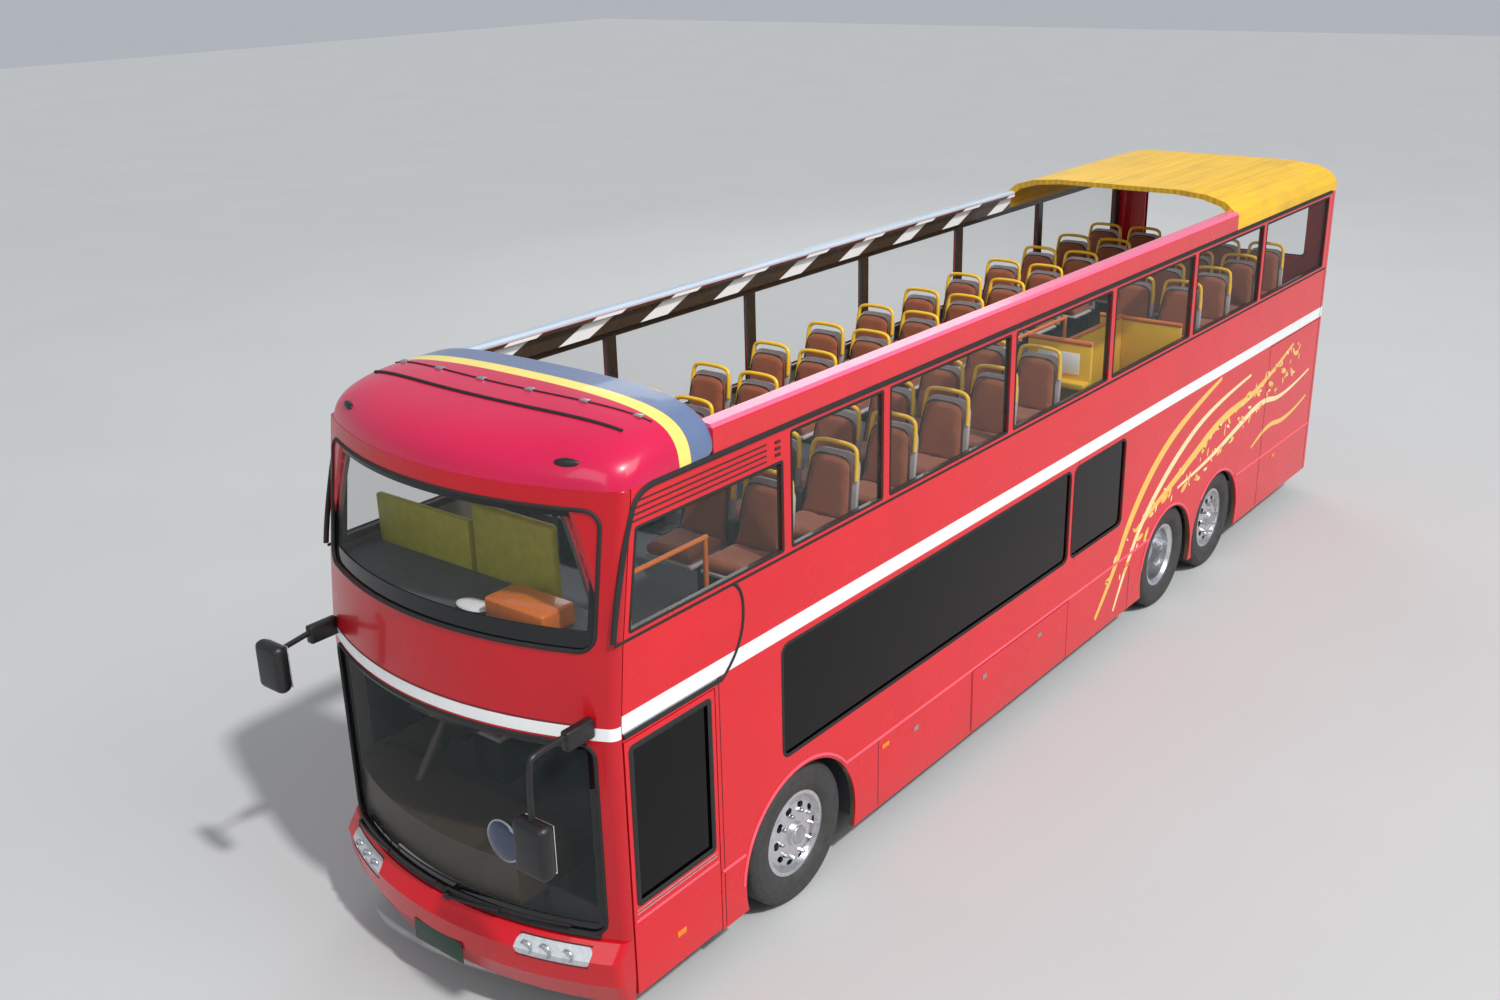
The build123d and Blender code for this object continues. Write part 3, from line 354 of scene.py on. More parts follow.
def dark_pane(name):
    """Black glass that mirrors only a little."""
    finish = Finish(name)
    finish.colour(finish.mix(finish.noise(3, 3), (0.0008, 0.0008, 0.001), (0.002, 0.002, 0.0025)))
    finish.roughness(2, 3, 0.05, 0.12)
    finish.uniform(specular_ior_level=0.18)


def rubber(name, base, dusty=0.25):
    """Dull rubber with pale dust in patches."""
    finish = Finish(name)
    worn = finish.math("MULTIPLY", finish.noise(18, 8), dusty)
    finish.colour(finish.mix(worn, base, (0.16, 0.15, 0.14)))
    finish.roughness(25, 4, 0.55, 0.85)
    finish.bump(finish.noise(300, 4), 0.0006, 0.4)


def woven(name, base, thread=700):
    """Seat cover: a close weave over cloudy colour."""
    finish = Finish(name)
    cloud = finish.clouds(7, 5, base, 0.72, 1.25)
    weave = finish.math("MULTIPLY", finish.noise(thread, 2, (1, 1, 3)), finish.noise(thread, 2, (3, 3, 1)))
    finish.colour(finish.mix(finish.math("MULTIPLY", weave, 0.6), cloud, tinted(base, 0.4)))
    finish.roughness(20, 3, 0.6, 0.8)
    finish.bump(weave, 0.0012, 0.5)
    finish.uniform(sheen_weight=0.25)


def rail_finish(name, base, top, lip, dark, light):
    """Rail paint: the left rail is red with a painted highlight on its top and a bright inner lip. The right
    rail has a bright top, and slanting dashes on its inner face."""
    finish = Finish(name)
    across = finish.axis("Y")
    height = finish.axis("Z")
    shade = finish.clouds(3, 4, base, 0.85, 1.1)
    upper = finish.between(height, RAIL_TOP - 0.032, RAIL_TOP + 1)
    bright = finish.mix(finish.noise(5, 6, (0.4, 6, 6)), tinted(lip, 0.7), tinted(lip, 1.15))
    # The left rail's top takes the painted highlight colour; the bright lip colour goes on its inner lip and
    # on the right rail's top
    for low, high, look in ((1.13, 2, top), (0, 1.142, bright), (-1.235, 0, bright)):
        shade = finish.mix(finish.math("MULTIPLY", finish.between(across, low, high), upper), shade, look)
    slant = finish.math("MULTIPLY_ADD", height, 2.4, finish.axis("X"))
    step = finish.math("FRACT", finish.math("MULTIPLY", slant, 1.15))
    dashes = finish.mix(finish.between(step, 0.02, 0.40, 0.02), dark, light)
    below = finish.between(height, 0, RAIL_TOP - 0.034)
    shade = finish.mix(finish.math("MULTIPLY", finish.between(across, -1.168, 0), below), shade, dashes)
    finish.colour(shade)
    finish.roughness(9, 5, 0.20, 0.38)
    finish.bump(finish.noise(200, 2), 0.0004, 0.2)
    finish.uniform(coat_weight=0.5, coat_roughness=0.08)


def streaked_roof(name, base):
    """Sun-faded yellow roof, with streaks along its length and shallow ribs."""
    finish = Finish(name)
    shade = finish.mix(finish.noise(3.0, 8, (0.25, 7, 1)), tinted(base, 0.55), tinted(base, 1.15))
    stains = finish.math("MULTIPLY_ADD", finish.noise(2.2, 7), 3.0, -1.6, clamp=True)
    finish.colour(finish.mix(finish.math("MULTIPLY", stains, 0.45), shade, (0.30, 0.20, 0.08)))
    finish.roughness(8, 5, 0.40, 0.62)
    finish.bump(finish.math("SINE", finish.math("MULTIPLY", finish.axis("Y"), 95)), 0.004, 0.35)


def make_materials():
    """Makes every material, each under its own name."""
    look = body_colours()
    red, white, yellow = tuple(look.red), tuple(look.white), tuple(look.yellow)
    tint, lining, reveal = tuple(look.tint), tuple(look.lining), tuple(look.reveal)
    side_band = [("Z", *SIDE_BAND, white)]
    front_band = [("Z", *FRONT_BAND, white)]
    cream_start, cream_end = CAP_BACK + 0.19, CAP_BACK + 0.29
    slate = ("X", CAP_BACK - 1, cream_start, tuple(look.slate))
    cream = ("X", cream_start, cream_end, tuple(look.cream))
    dark_dash, light_dash = (0.040, 0.026, 0.016), (0.80, 0.80, 0.78)
    paint("side_paint", red, side_band, lining=lining)
    paint("upper_paint", red, dust=False, lining=reveal)
    # The front's red is the body red darkened to 0.74: painted shade on the front face
    paint("shaded_front_paint", tinted(red, 0.74), front_band, lining=reveal, behind=behind_nose)
    paint("rear_paint", red, side_band)
    paint("red_paint", red)
    # The bumper's red is the body red darkened to 0.85: painted shade on the front
    paint("shaded_bumper_paint", tinted(red, 0.85))
    # The cap's base red is tinted magenta: a painted sky reflection
    paint("cap_paint", tuple(look.cap), [slate, cream], dust=False)
    # Pink for the raised ribs, arch lips and door panel edge: a painted highlight
    paint("rib_highlight_paint", tuple(look.pink))
    paint("white_paint", white)
    paint("handle_yellow", yellow, coat=0.4, dust=False)
    paint("orange_tube", (0.66, 0.16, 0.02), coat=0.5, dust=False)
    paint("panel_yellow", tinted(yellow, 0.9), coat=0.3, dust=False)
    paint("gold_film", tuple(look.gold), coat=0.5)
    paint("straw_film", tuple(look.straw), coat=0.5)
    rail_finish("rail_paint", red, tuple(look.rail_top_highlight), tuple(look.silver), dark_dash, light_dash)
    streaked_roof("roof_yellow", yellow)
    clear_glass("window_glass", tinted(tint, 0.5), 0.10)
    clear_glass("screen_glass", tinted(tint, 0.5), 0.09, (1.085, (0.80, 1.960), (2.66, 3.29)))
    dark_pane("dark_glass")
    lamp_glass("headlamp")
    plastic("black_trim", (0.008, 0.008, 0.009), 0.42)
    plastic("chassis_paint", (0.02, 0.02, 0.022), 0.6, 90, 0.002)
    plastic("floor_vinyl", (0.060, 0.064, 0.075), 0.6, 160, 0.002)
    plastic("deck_vinyl", (0.085, 0.090, 0.10), 0.55, 160, 0.002)
    plastic("dash_tan", (0.050, 0.034, 0.022), 0.5, 260, 0.001)
    plastic("seat_shell", tuple(seat_sizes().shell), 0.4, 320)
    plastic("panel_lime", tuple(look.lime), 0.5)
    plastic("plate_green", (0.006, 0.035, 0.020), 0.4)
    plastic("amber", (0.80, 0.20, 0.01), 0.18, 60, 0.001)
    rubber("window_rubber", (0.006, 0.006, 0.006), 0.06)
    rubber("seam_shade", (0.05, 0.003, 0.005), 0.1)
    rubber("tyre_rubber", (0.016, 0.016, 0.016), 0.30)
    rubber("piping", tuple(seat_sizes().piping), 0.2)
    metal("alloy", (0.74, 0.75, 0.77), 0.26, (4, 40, 4))
    metal("steel", (0.56, 0.57, 0.59), 0.30)
    metal("engine_iron", (0.16, 0.16, 0.17), 0.6)
    metal("mirror_face", (0.80, 0.82, 0.84), 0.06)
    metal("mirror_dome", (0.10, 0.12, 0.18), 0.08)
    woven("seat_cover", tuple(seat_sizes().cover))


RIMS = [f"{kind}_{label}" for kind in ("front_rim", "tag_rim", "drive_rims") for label, _ in SIDES]

# The material of every CAD node that stays in sight
CAD_LOOKS = {
    "side_paint": ("lower_side_left", "lower_side_right"),
    "rear_paint": ("rear_wall",),
    "upper_paint": ("upper_side_left", "upper_side_right"),
    "shaded_front_paint": ("front_frame",),
    "red_paint": ("door_leaf", "locker_lid", "engine_lid", "exit_door"),
    "shaded_bumper_paint": ("bumper",),
    "roof_yellow": ("rear_roof",),
    "rail_paint": ("top_rails",),
    "window_glass": ("upper_glass",),
    "screen_glass": ("windscreens",),
    "dark_glass": ("lower_glass", "door_glass"),
    "headlamp": ("lamps",),
    "floor_vinyl": ("lower_floor",),
    "deck_vinyl": ("upper_floor",),
    "chassis_paint": ("underframe", "axles", "knuckle_left", "knuckle_right"),
    "engine_iron": ("engine_block",),
    "dash_tan": ("dashboard",),
    "orange_tube": ("handrails",),
    "black_trim": ("door_post",),
    "alloy": RIMS,
}


# Ways to model, all by Blender's own operators


def deselect():
    if bpy.context.object and bpy.context.object.mode != "OBJECT":
        bpy.ops.object.mode_set(mode="OBJECT")
    bpy.ops.object.select_all(action="DESELECT")


def choose(*pieces):
    """Selects only these pieces and makes the first one active."""
    deselect()
    for piece in pieces:
        piece.select_set(True)
    bpy.context.view_layer.objects.active = pieces[0]


def edit():
    bpy.ops.object.mode_set(mode="EDIT")
    bpy.ops.mesh.select_mode(type="VERT")
    bpy.ops.mesh.select_all(action="SELECT")


def leave_edit():
    bpy.ops.object.mode_set(mode="OBJECT")
    return bpy.context.object


def settle(piece):
    """Moves the piece's place, turn and scale into its mesh."""
    choose(piece)
    bpy.ops.object.transform_apply(location=True, rotation=True, scale=True)
    return piece


def apply(piece, kind, **settings):
    """Adds a modifier to a piece and applies it."""
    choose(piece)
    modifier = piece.modifiers.new(kind.lower(), kind)
    for key, value in settings.items():
        setattr(modifier, key, value)
    bpy.ops.object.modifier_apply(modifier=modifier.name)


def select_faces(piece, test):
    """In object mode, selects the faces whose middle and normal pass the test, then enters edit mode."""
    edit()
    bpy.ops.mesh.select_all(action="DESELECT")
    bpy.ops.mesh.select_mode(type="FACE")
    leave_edit()
    for face in piece.data.polygons:
        face.select = bool(test(face.center, face.normal))
    bpy.ops.object.mode_set(mode="EDIT")


def outwards():
    """In edit mode, merges doubles and turns all faces outwards."""
    bpy.ops.mesh.select_all(action="SELECT")
    bpy.ops.mesh.remove_doubles(threshold=0.00005)
    bpy.ops.mesh.normals_make_consistent(inside=False)


def join(pieces):
    choose(*pieces)
    if len(pieces) > 1:
        bpy.ops.object.join()
    return settle(bpy.context.object)


def fit(pieces, name, material, body="body", replaced=(), smooth=35):
    """Joins and names a piece, gives it its material and smooth shading, and fits it to its body."""
    piece = join(pieces) if isinstance(pieces, list) else settle(pieces)
    piece.name = name
    piece.data.name = name
    piece.data.materials.clear()
    piece.data.materials.append(materials[material])
    bpy.ops.object.shade_smooth_by_angle(angle=radians(smooth))
    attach(piece, body)
    if replaced:
        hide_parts(*replaced)
    return piece


def line(points):
    """A line of edges, drawn by extruding one point after another."""
    points = [Vector(point) for point in points]
    deselect()
    bpy.ops.mesh.primitive_plane_add(size=0.001, location=points[0])
    edit()
    bpy.ops.mesh.merge(type="CENTER")
    for last, point in zip(points, points[1:]):
        bpy.ops.mesh.extrude_region_move(TRANSFORM_OT_translate={"value": point - last})
    return leave_edit()


def tube(points, radius, closed=False, smooth=0, round_steps=2, radii=()):
    """A tube along points, made by bevelling a curve. Radii gives shares of the radius point by point."""
    drawn = line(points)
    bpy.ops.object.convert(target="CURVE")
    curve = drawn.data
    curve.dimensions = "3D"
    curve.bevel_depth = radius
    curve.bevel_resolution = round_steps
    curve.use_fill_caps = not closed
    spline = curve.splines[0]
    spline.use_cyclic_u = closed
    for point, share in zip(spline.points, radii):
        point.radius = share
    if smooth:
        spline.type = "NURBS"
        spline.order_u = 3
        spline.use_endpoint_u = not closed
        curve.resolution_u = smooth
    bpy.ops.object.convert(target="MESH")
    settle(bpy.context.object)
    edit()
    outwards()
    return leave_edit()


def flatten(piece, axis, centre, share):
    """Presses a piece flat towards a plane across an axis."""
    choose(piece)
    edit()
    value = [1, 1, 1]
    value[axis] = share
    place = [0, 0, 0]
    place[axis] = centre
    bpy.ops.transform.resize(value=value, center_override=place)
    return leave_edit()


def block(low, high):
    """A plain block between two corners."""
    low, high = Vector(low), Vector(high)
    deselect()
    bpy.ops.mesh.primitive_cube_add(size=1, location=(low + high) / 2)
    bpy.context.object.scale = high - low
    return settle(bpy.context.object)


def rounded_block(low, high, bevel, steps=2):
    """A block between two corners, with its edges bevelled."""
    block(low, high)
    edit()
    bpy.ops.mesh.bevel(offset=bevel, segments=steps, affect="EDGES")
    return leave_edit()


def ball(place, size, steps=24, turn=0):
    """A ball stretched to three half sizes and turned about its upright axis."""
    deselect()
    bpy.ops.mesh.primitive_uv_sphere_add(segments=steps, ring_count=steps // 2, radius=1, location=place)
    piece = bpy.context.object
    piece.scale = size
    piece.rotation_euler = (0, 0, turn)
    return settle(piece)


def hoop(place, radius, thickness, steps=32):
    """A round ring that faces forwards."""
    deselect()
    bpy.ops.mesh.primitive_torus_add(
        location=place,
        rotation=(0, pi / 2, 0),
        major_radius=radius,
        minor_radius=thickness,
        major_segments=steps,
        minor_segments=8,
    )
    return settle(bpy.context.object)


def copy_of(piece, offset=(0, 0, 0)):
    """A copy with its own mesh, moved by an offset."""
    choose(piece)
    bpy.ops.object.duplicate(linked=False)
    copy = bpy.context.object
    copy.location = Vector(copy.location) + Vector(offset)
    return copy


def remove(*pieces):
    choose(*pieces)
    bpy.ops.object.delete()


def turned_profile(profile, steps):
    """Spins a closed profile of (distance from the axle, place across) round the Y axis."""
    points = [Vector((0, across, away)) for away, across in profile]
    line(points + points[:1])
    edit()
    bpy.ops.mesh.spin(steps=steps, angle=2 * pi, center=(0, 0, 0), axis=(0, 1, 0))
    outwards()
    return leave_edit()


def evenly(start, end, steps):
    return [start + (end - start) * step / steps for step in range(steps + 1)]


def hit(node, start, direction):
    """The point where a ray meets a piece."""
    found, place, _, _ = node.ray_cast(Vector(start), Vector(direction))
    if not found:
        raise RuntimeError(f"nothing of {node.name} lies ahead of {start}")
    return place


def hit_from_front(node, y, z):
    """The point on a node's front at a width and height."""
    return hit(nodes[node], (NOSE + 2, y, z), (-1, 0, 0))


def rounded_outline(across, height, corner, steps=3, slant=0.0):
    """Points round an upright rectangle with rounded corners. Slant moves its last upper corner back."""
    (low, high), (foot, head) = across, height
    points = []
    for x, z, start in ((low, foot, 180), (high, foot, 270), (high - slant, head, 0), (low, head, 90)):
        middle_x = x + (corner if x == low else -corner)
        middle_z = z + (corner if z == foot else -corner)
        for step in range(steps + 1):
            angle = radians(start + 90 * step / steps)
            points.append((middle_x + corner * cos(angle), middle_z + corner * sin(angle)))
    return points


def window_ring(across, height, y, corner, radius, slant=0.0):
    """A ring of rubber round a window in a side wall."""
    outline = rounded_outline(across, height, corner, slant=slant)
    ring = tube([(x, y, z) for x, z in outline], radius, closed=True)
    return flatten(ring, 1, y, 0.35)


def side_line(side, points, radius, flat=0.35, smooth=0):
    """A trim line on a side wall. Its points are (distance ahead of the front axle, height)."""
    y = side * ON_SIDE
    piece = tube([(FRONT_AXLE + x, y, z) for x, z in points], radius, smooth=smooth)
    return flatten(piece, 1, y, flat)


def side_plate(side, x, z, half, sunk, proud, bevel):
    """A small plate on a side wall, round a place ahead of the front axle."""
    half_x, half_z = half
    low, high = sorted((side * (SIDE - sunk), side * (SIDE + proud)))
    x += FRONT_AXLE
    return rounded_block((x - half_x, low, z - half_z), (x + half_x, high, z + half_z), bevel)


def front_line(height, reach, radius):
    """A trim line across the front frame, to the same reach on both sides."""
    places = [hit_from_front("front_frame", y, height) for y in evenly(-reach, reach, 14)]
    return tube([place + Vector((0.001, 0, 0)) for place in places], radius)


# The pieces


class BUS_OT_frame_finish(bpy.types.Operator):
    """Gives every solid of the frame its material"""

    bl_idname = "bus.frame_finish"
    bl_label = "Frame finish"

    def execute(self, context):
        make_materials()
        for look, members in CAD_LOOKS.items():
            for name in members:
                nodes[name].data.materials.clear()
                nodes[name].data.materials.append(materials[look])
        return {"FINISHED"}


# Half of the tyre's outline from bead to shoulder: distance from the axle, place across
TYRE_PROFILE = [
    (0.286, -0.080), (0.306, -0.104), (0.322, -0.118), (0.345, -0.127), (0.352, -0.131),
    (0.358, -0.1325), (0.400, -0.1365), (0.440, -0.1335), (0.446, -0.1345), (0.452, -0.1315),
    (0.470, -0.124), (0.488, -0.113), (0.500, -0.098), (0.5045, -0.088),
]
TREAD_RADIUS = 0.5048
GROOVES = (-0.054, -0.018, 0.018, 0.054)
TWIN_OFFSET = 0.155


class BUS_OT_tyres(bpy.types.Operator):
    """Models one ribbed tyre and copies it to every wheel"""

    bl_idname = "bus.tyres"
    bl_label = "Tyres"

    def master_tyre(self):
        floor = TREAD_RADIUS - trim_sizes().groove_depth
        crown = []
        for groove in GROOVES:
            crown += [
                (TREAD_RADIUS, groove - 0.007),
                (floor, groove - 0.0045),
                (floor, groove + 0.0045),
                (TREAD_RADIUS, groove + 0.007),
            ]
        other_side = [(away, -across) for away, across in reversed(TYRE_PROFILE)]
        return turned_profile(TYRE_PROFILE + crown + other_side, 96)

    def execute(self, context):
        master = self.master_tyre()
        for label, _ in SIDES:
            for kind, x, wheel, offsets in (
                ("front_tyre", FRONT_AXLE, "front_wheel", (0,)),
                ("tag_tyre", TAG_AXLE, "tag_wheel", (0,)),
                ("drive_tyres", DRIVE_AXLE, "drive_wheels", (-TWIN_OFFSET, TWIN_OFFSET)),
            ):
                node = f"{kind}_{label}"
                y = middle(node).y
                rings = [copy_of(master, (x, y + offset, AXLE_HEIGHT)) for offset in offsets]
                fit(rings, f"ribbed_{node}", "tyre_rubber", f"{wheel}_{label}", replaced=(node,))
        remove(master)
        return {"FINISHED"}


class BUS_OT_wheel_details(bpy.types.Operator):
    """Adds the ring of nuts and the stepped hub of every wheel"""

    bl_idname = "bus.wheel_details"
    bl_label = "Wheel details"

    def nut_ring(self):
        trim = trim_sizes()
        deselect()
        bpy.ops.mesh.primitive_cylinder_add(vertices=6, radius=0.0165, depth=0.030)
        nut = settle(bpy.context.object)
        select_faces(nut, lambda centre, normal: normal.z > 0.9)
        bpy.ops.mesh.inset(thickness=0.004)
        bpy.ops.mesh.extrude_region_move(TRANSFORM_OT_translate={"value": (0, 0, 0.012)})
        bpy.ops.mesh.inset(thickness=0.003)
        leave_edit()
        nut.rotation_euler = (-pi / 2, 0, 0)
        settle(nut)
        ring = []
        for step in range(trim.nuts):
            angle = 2 * pi * step / trim.nuts
            ring.append(copy_of(nut, (trim.nut_ring * cos(angle), 0, trim.nut_ring * sin(angle))))
        remove(nut)
        return join(ring)

    def hub(self, radius, reach):
        """A stepped hub cap that stands out along Y."""
        profile = [
            (0.0005, 0), (radius, 0), (radius + 0.008, 0.012), (radius, 0.020), (radius - 0.004, reach),
            (radius - 0.020, reach + 0.008), (radius - 0.034, reach + 0.002), (0.0005, reach + 0.002),
        ]
        return turned_profile(profile, 48)

    def execute(self, context):
        # Distance of the disc from the wheel's middle, hub radius, hub reach
        single, twin = (0.107, 0.068, 0.030), (0.015, 0.110, 0.120)
        for label, side in SIDES:
            for rim, axle_node, x, wheel, (disc, radius, reach) in (
                ("front_rim", "front_tyre", FRONT_AXLE, "front_wheel", single),
                ("tag_rim", "tag_tyre", TAG_AXLE, "tag_wheel", single),
                ("drive_rims", "drive_rims", DRIVE_AXLE, "drive_wheels", twin),
            ):
                details = join([self.nut_ring(), self.hub(radius, reach)])
                if side < 0:
                    details.rotation_euler = (0, 0, pi)
                    settle(details)
                y = middle(f"{axle_node}_{label}").y
                details.location = (x, y + side * disc, AXLE_HEIGHT)
                fit(details, f"nuts_and_hub_{rim}_{label}", "steel", f"{wheel}_{label}")
        return {"FINISHED"}


# Low windows of both sides (back, front, foot, head), and the posts between the upper ones
LOW_PANES = {
    1: ((-3.73, 0.20, 1.20, 2.00), (-4.76, -3.80, 1.20, 2.00)),
    -1: ((-3.73, 0.20, 1.20, 2.00), (0.76, 1.56, 1.10, 1.95)),
}
POSTS = (0.120, -0.970, -2.660, -4.340, -6.020, -7.700)
HALF_POST = 0.045


class BUS_OT_window_rubber(bpy.types.Operator):
    """Lays a ring of rubber round every side window"""

    bl_idname = "bus.window_rubber"
    bl_label = "Window rubber"

    def execute(self, context):
        radius = trim_sizes().rubber
        thin = radius * 0.8
        last_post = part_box("upper_side_left")[0].x - FRONT_AXLE + 0.12 - HALF_POST
        for label, side in SIDES:
            y = side * ON_SIDE
            rings = [
                window_ring((FRONT_AXLE + back, FRONT_AXLE + front), (foot, head), y, 0.06, radius)
                for back, front, foot, head in LOW_PANES[side]
            ]
            fit(rings, f"lower_window_rubber_{label}", "window_rubber")
            rings = []
            for front, back in zip(POSTS, POSTS[1:] + (last_post,)):
                across = (FRONT_AXLE + back + HALF_POST, FRONT_AXLE + front - HALF_POST)
                rings.append(window_ring(across, (WINDOW_FOOT, WINDOW_HEAD), y, 0.012, thin))
            across = (FRONT_AXLE + POSTS[0] + HALF_POST, FRONT_AXLE + 1.558)
            rings.append(window_ring(across, (WINDOW_FOOT, 3.22), y, 0.012, thin, 0.092))
            fit(rings, f"upper_window_rubber_{label}", "window_rubber")
        return {"FINISHED"}


def arch_points(axle, radius, start, end, steps):
    """Points on the edge of a wheel arch, from start to end in degrees."""
    angles = [radians(angle) for angle in evenly(start, end, steps)]
    return [(axle + radius * cos(angle), ARCH_CENTRE + radius * sin(angle)) for angle in angles]


# Dark rubber lines of a side: points, radius, flatness, smoothness
DRIP_LINES = (
    ([(1.69, 2.62), (1.66, 2.80), (1.50, 3.34), (1.40, 3.425), (1.20, 3.435), (-9.6, 3.435)], 0.019, 0.8, 4),
    ([(1.68, 2.60), (-9.66, 2.60)], 0.010, 0.5),
    ([(0.66, 2.60), (0.58, 2.55), (0.57, 2.30), (0.68, 2.10), (0.80, 2.02)], 0.012, 0.6, 4),
    ([(0.80, 2.035), (1.66, 2.035)], 0.018, 0.9),
)
GUTTER = ([(0.85, 2.052), (1.66, 2.052)], 0.006, 1.2)
SEAM_FOOT = 0.29
REAR_SEAM = -9.67
SEAMS = [
    [(REAR_SEAM, 0.275), (REAR_SEAM, 2.58)],
    [(-5.02, SEAM_FOOT), (-5.02, 0.70)],
    [(-2.2, SEAM_FOOT), (-2.2, 0.82)],
    [(-0.90, SEAM_FOOT), (-0.90, 0.82)],
    [(-8.2, SEAM_FOOT), (-8.2, 2.04)],
    [(-8.2, 2.04), (REAR_SEAM, 2.04)],
]
ARCH_RADIUS = {"front": 0.64, "rear": 0.59}
LOCKS = (-3.30, -2.40, -1.40)
LOCK_HEIGHT = 0.69
MARKERS = (-0.99, -4.95, -8.6)
MARKER_HEIGHT = 0.74
# Heights of the grooves over the foremost upper window, and of the short ones behind them
GROOVE_HEIGHTS = (3.262, 3.297, 3.332, 3.367)
SHORT_HEIGHTS = (3.275, 3.315, 3.355)
SIDE_SEAMS = {
    1: [[(0.825, SEAM_FOOT), (0.825, 2.02)], [(-3.87, 1.16), (-3.87, 2.05)]],
    -1: [[(0.70, 0.62), (0.70, 2.04)]],
}


class BUS_OT_side_trim(bpy.types.Operator):
    """Adds ribs, arch lips, drip rails, seams, locks and lamps to both sides, and trims the door"""

    bl_idname = "bus.side_trim"
    bl_label = "Side trim"

    def ribs(self, side):
        trim = trim_sizes()
        height = trim.rib_height
        drive, tag = DRIVE_AXLE - FRONT_AXLE, TAG_AXLE - FRONT_AXLE
        ahead = [(0.62, 0.70), (0.85, 0.70)] if side > 0 else [(0.50, height), (1.66, height)]
        runs = [
            [(-0.50, height), (drive + 0.44, height)],
            arch_points(0, ARCH_RADIUS["front"], 142, 4, 18),
            arch_points(drive, ARCH_RADIUS["rear"], 142, 12, 14),
            arch_points(tag, ARCH_RADIUS["rear"], 176, 44, 14),
            ahead,
            [(tag - 0.48, height), (-9.65, height)],
        ]
        return [side_line(side, points, trim.rib, 0.9) for points in runs]

    def ribbed_panel(self, side):
        """Four grooves over the foremost upper window, and three short ones behind them."""
        ribs = []
        for z in GROOVE_HEIGHTS:
            ribs.append(side_line(side, [(0.32, z), (1.50 - (z - 3.22) * 0.16, z)], 0.006, 0.6))
        for z in SHORT_HEIGHTS:
            ribs.append(side_line(side, [(0.185, z), (0.235, z)], 0.011, 0.5))
        return ribs

    def locks(self, side):
        """The small bright locks of the skirt. On the left side two belong to the locker's lid."""
        plates = [side_plate(side, x, LOCK_HEIGHT, (0.03, 0.02), 0, 0.004, 0.0018) for x in LOCKS]
        if side > 0:
            fit(plates[:2], "locker_locks", "steel", "locker_lid")
            fit(plates[2], "skirt_lock_left", "steel")
        else:
            fit(plates, "skirt_locks_right", "steel")

    def door_trim(self):
        """The black frame, bright lines and lamp of the entrance door."""
        low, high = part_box("door_glass")
        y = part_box("door_leaf")[1].y + 0.0005
        across = (low.x + 0.004, high.x - 0.004)
        ring = window_ring(across, (low.z + 0.004, high.z - 0.004), y, 0.02, 0.020)
        fit(ring, "door_glass_rubber", "window_rubber", "door")
        bright = []
        for z in (low.z - 0.035, low.z - 0.058):
            bright.append(flatten(tube([(low.x - 0.02, y, z), (high.x + 0.02, y, z)], 0.004), 1, y, 0.5))
        fit(bright, "door_bright_lines", "steel", "door")
        edge = flatten(tube([(low.x - 0.03, y, 0.795), (high.x + 0.03, y, 0.795)], 0.010), 1, y, 0.5)
        fit(edge, "door_panel_edge", "rib_highlight_paint", "door")
        lamp = rounded_block((low.x + 0.30, y - 0.002, 0.475), (low.x + 0.38, y + 0.006, 0.515), 0.003)
        fit(lamp, "door_lamp", "amber", "door")

    def execute(self, context):
        seam = trim_sizes().seam
        for label, side in SIDES:
            fit(self.ribs(side), f"rib_line_{label}", "rib_highlight_paint")
            seams = [side_line(side, points, seam, 0.3) for points in SEAMS + SIDE_SEAMS[side]]
            fit(seams, f"panel_seams_{label}", "seam_shade")
            fit([side_line(side, *drip) for drip in DRIP_LINES], f"drip_rails_{label}", "window_rubber")
            fit(side_line(side, *GUTTER), f"gutter_edge_{label}", "steel")
            self.locks(side)
            markers = [
                side_plate(side, x, MARKER_HEIGHT, (0.045, 0.018), 0.001, 0.007, 0.003) for x in MARKERS
            ]
            fit(markers, f"marker_lamps_{label}", "amber")
            fit(self.ribbed_panel(side), f"ribbed_panel_{label}", "seam_shade")
        self.door_trim()
        return {"FINISHED"}


# Levels of the cap: height, front ahead of the front axle, half width, corner radius
CAP_LEVELS = (
    (3.440, 1.850, 1.245, 0.12), (3.530, 1.835, 1.239, 0.16), (3.610, 1.770, 1.205, 0.22),
    (3.680, 1.650, 1.130, 0.28), (3.735, 1.450, 0.970, 0.32), (3.765, 1.250, 0.750, 0.32),
    (3.778, 1.100, 0.480, 0.24), (3.782, 1.000, 0.200, 0.10), (3.782, 0.950, 0.001, 0.0005),
)
CREASE = 1.42
CLIPS = 1.235
CLIP_PLACES = (-0.95, -0.55, -0.15, 0.25, 0.65, 1.0)
# Heights of the two windscreens' rubber and of the plate
LOW_SCREEN = (0.735, 2.005)
HIGH_SCREEN = (2.550, 3.335)
PLATE = (0.325, 0.475)
HALF_PLATE = 0.22
# Bowls of a headlamp: place across, radius
BOWLS = ((0.70, 0.040), (0.82, 0.043), (0.96, 0.036))


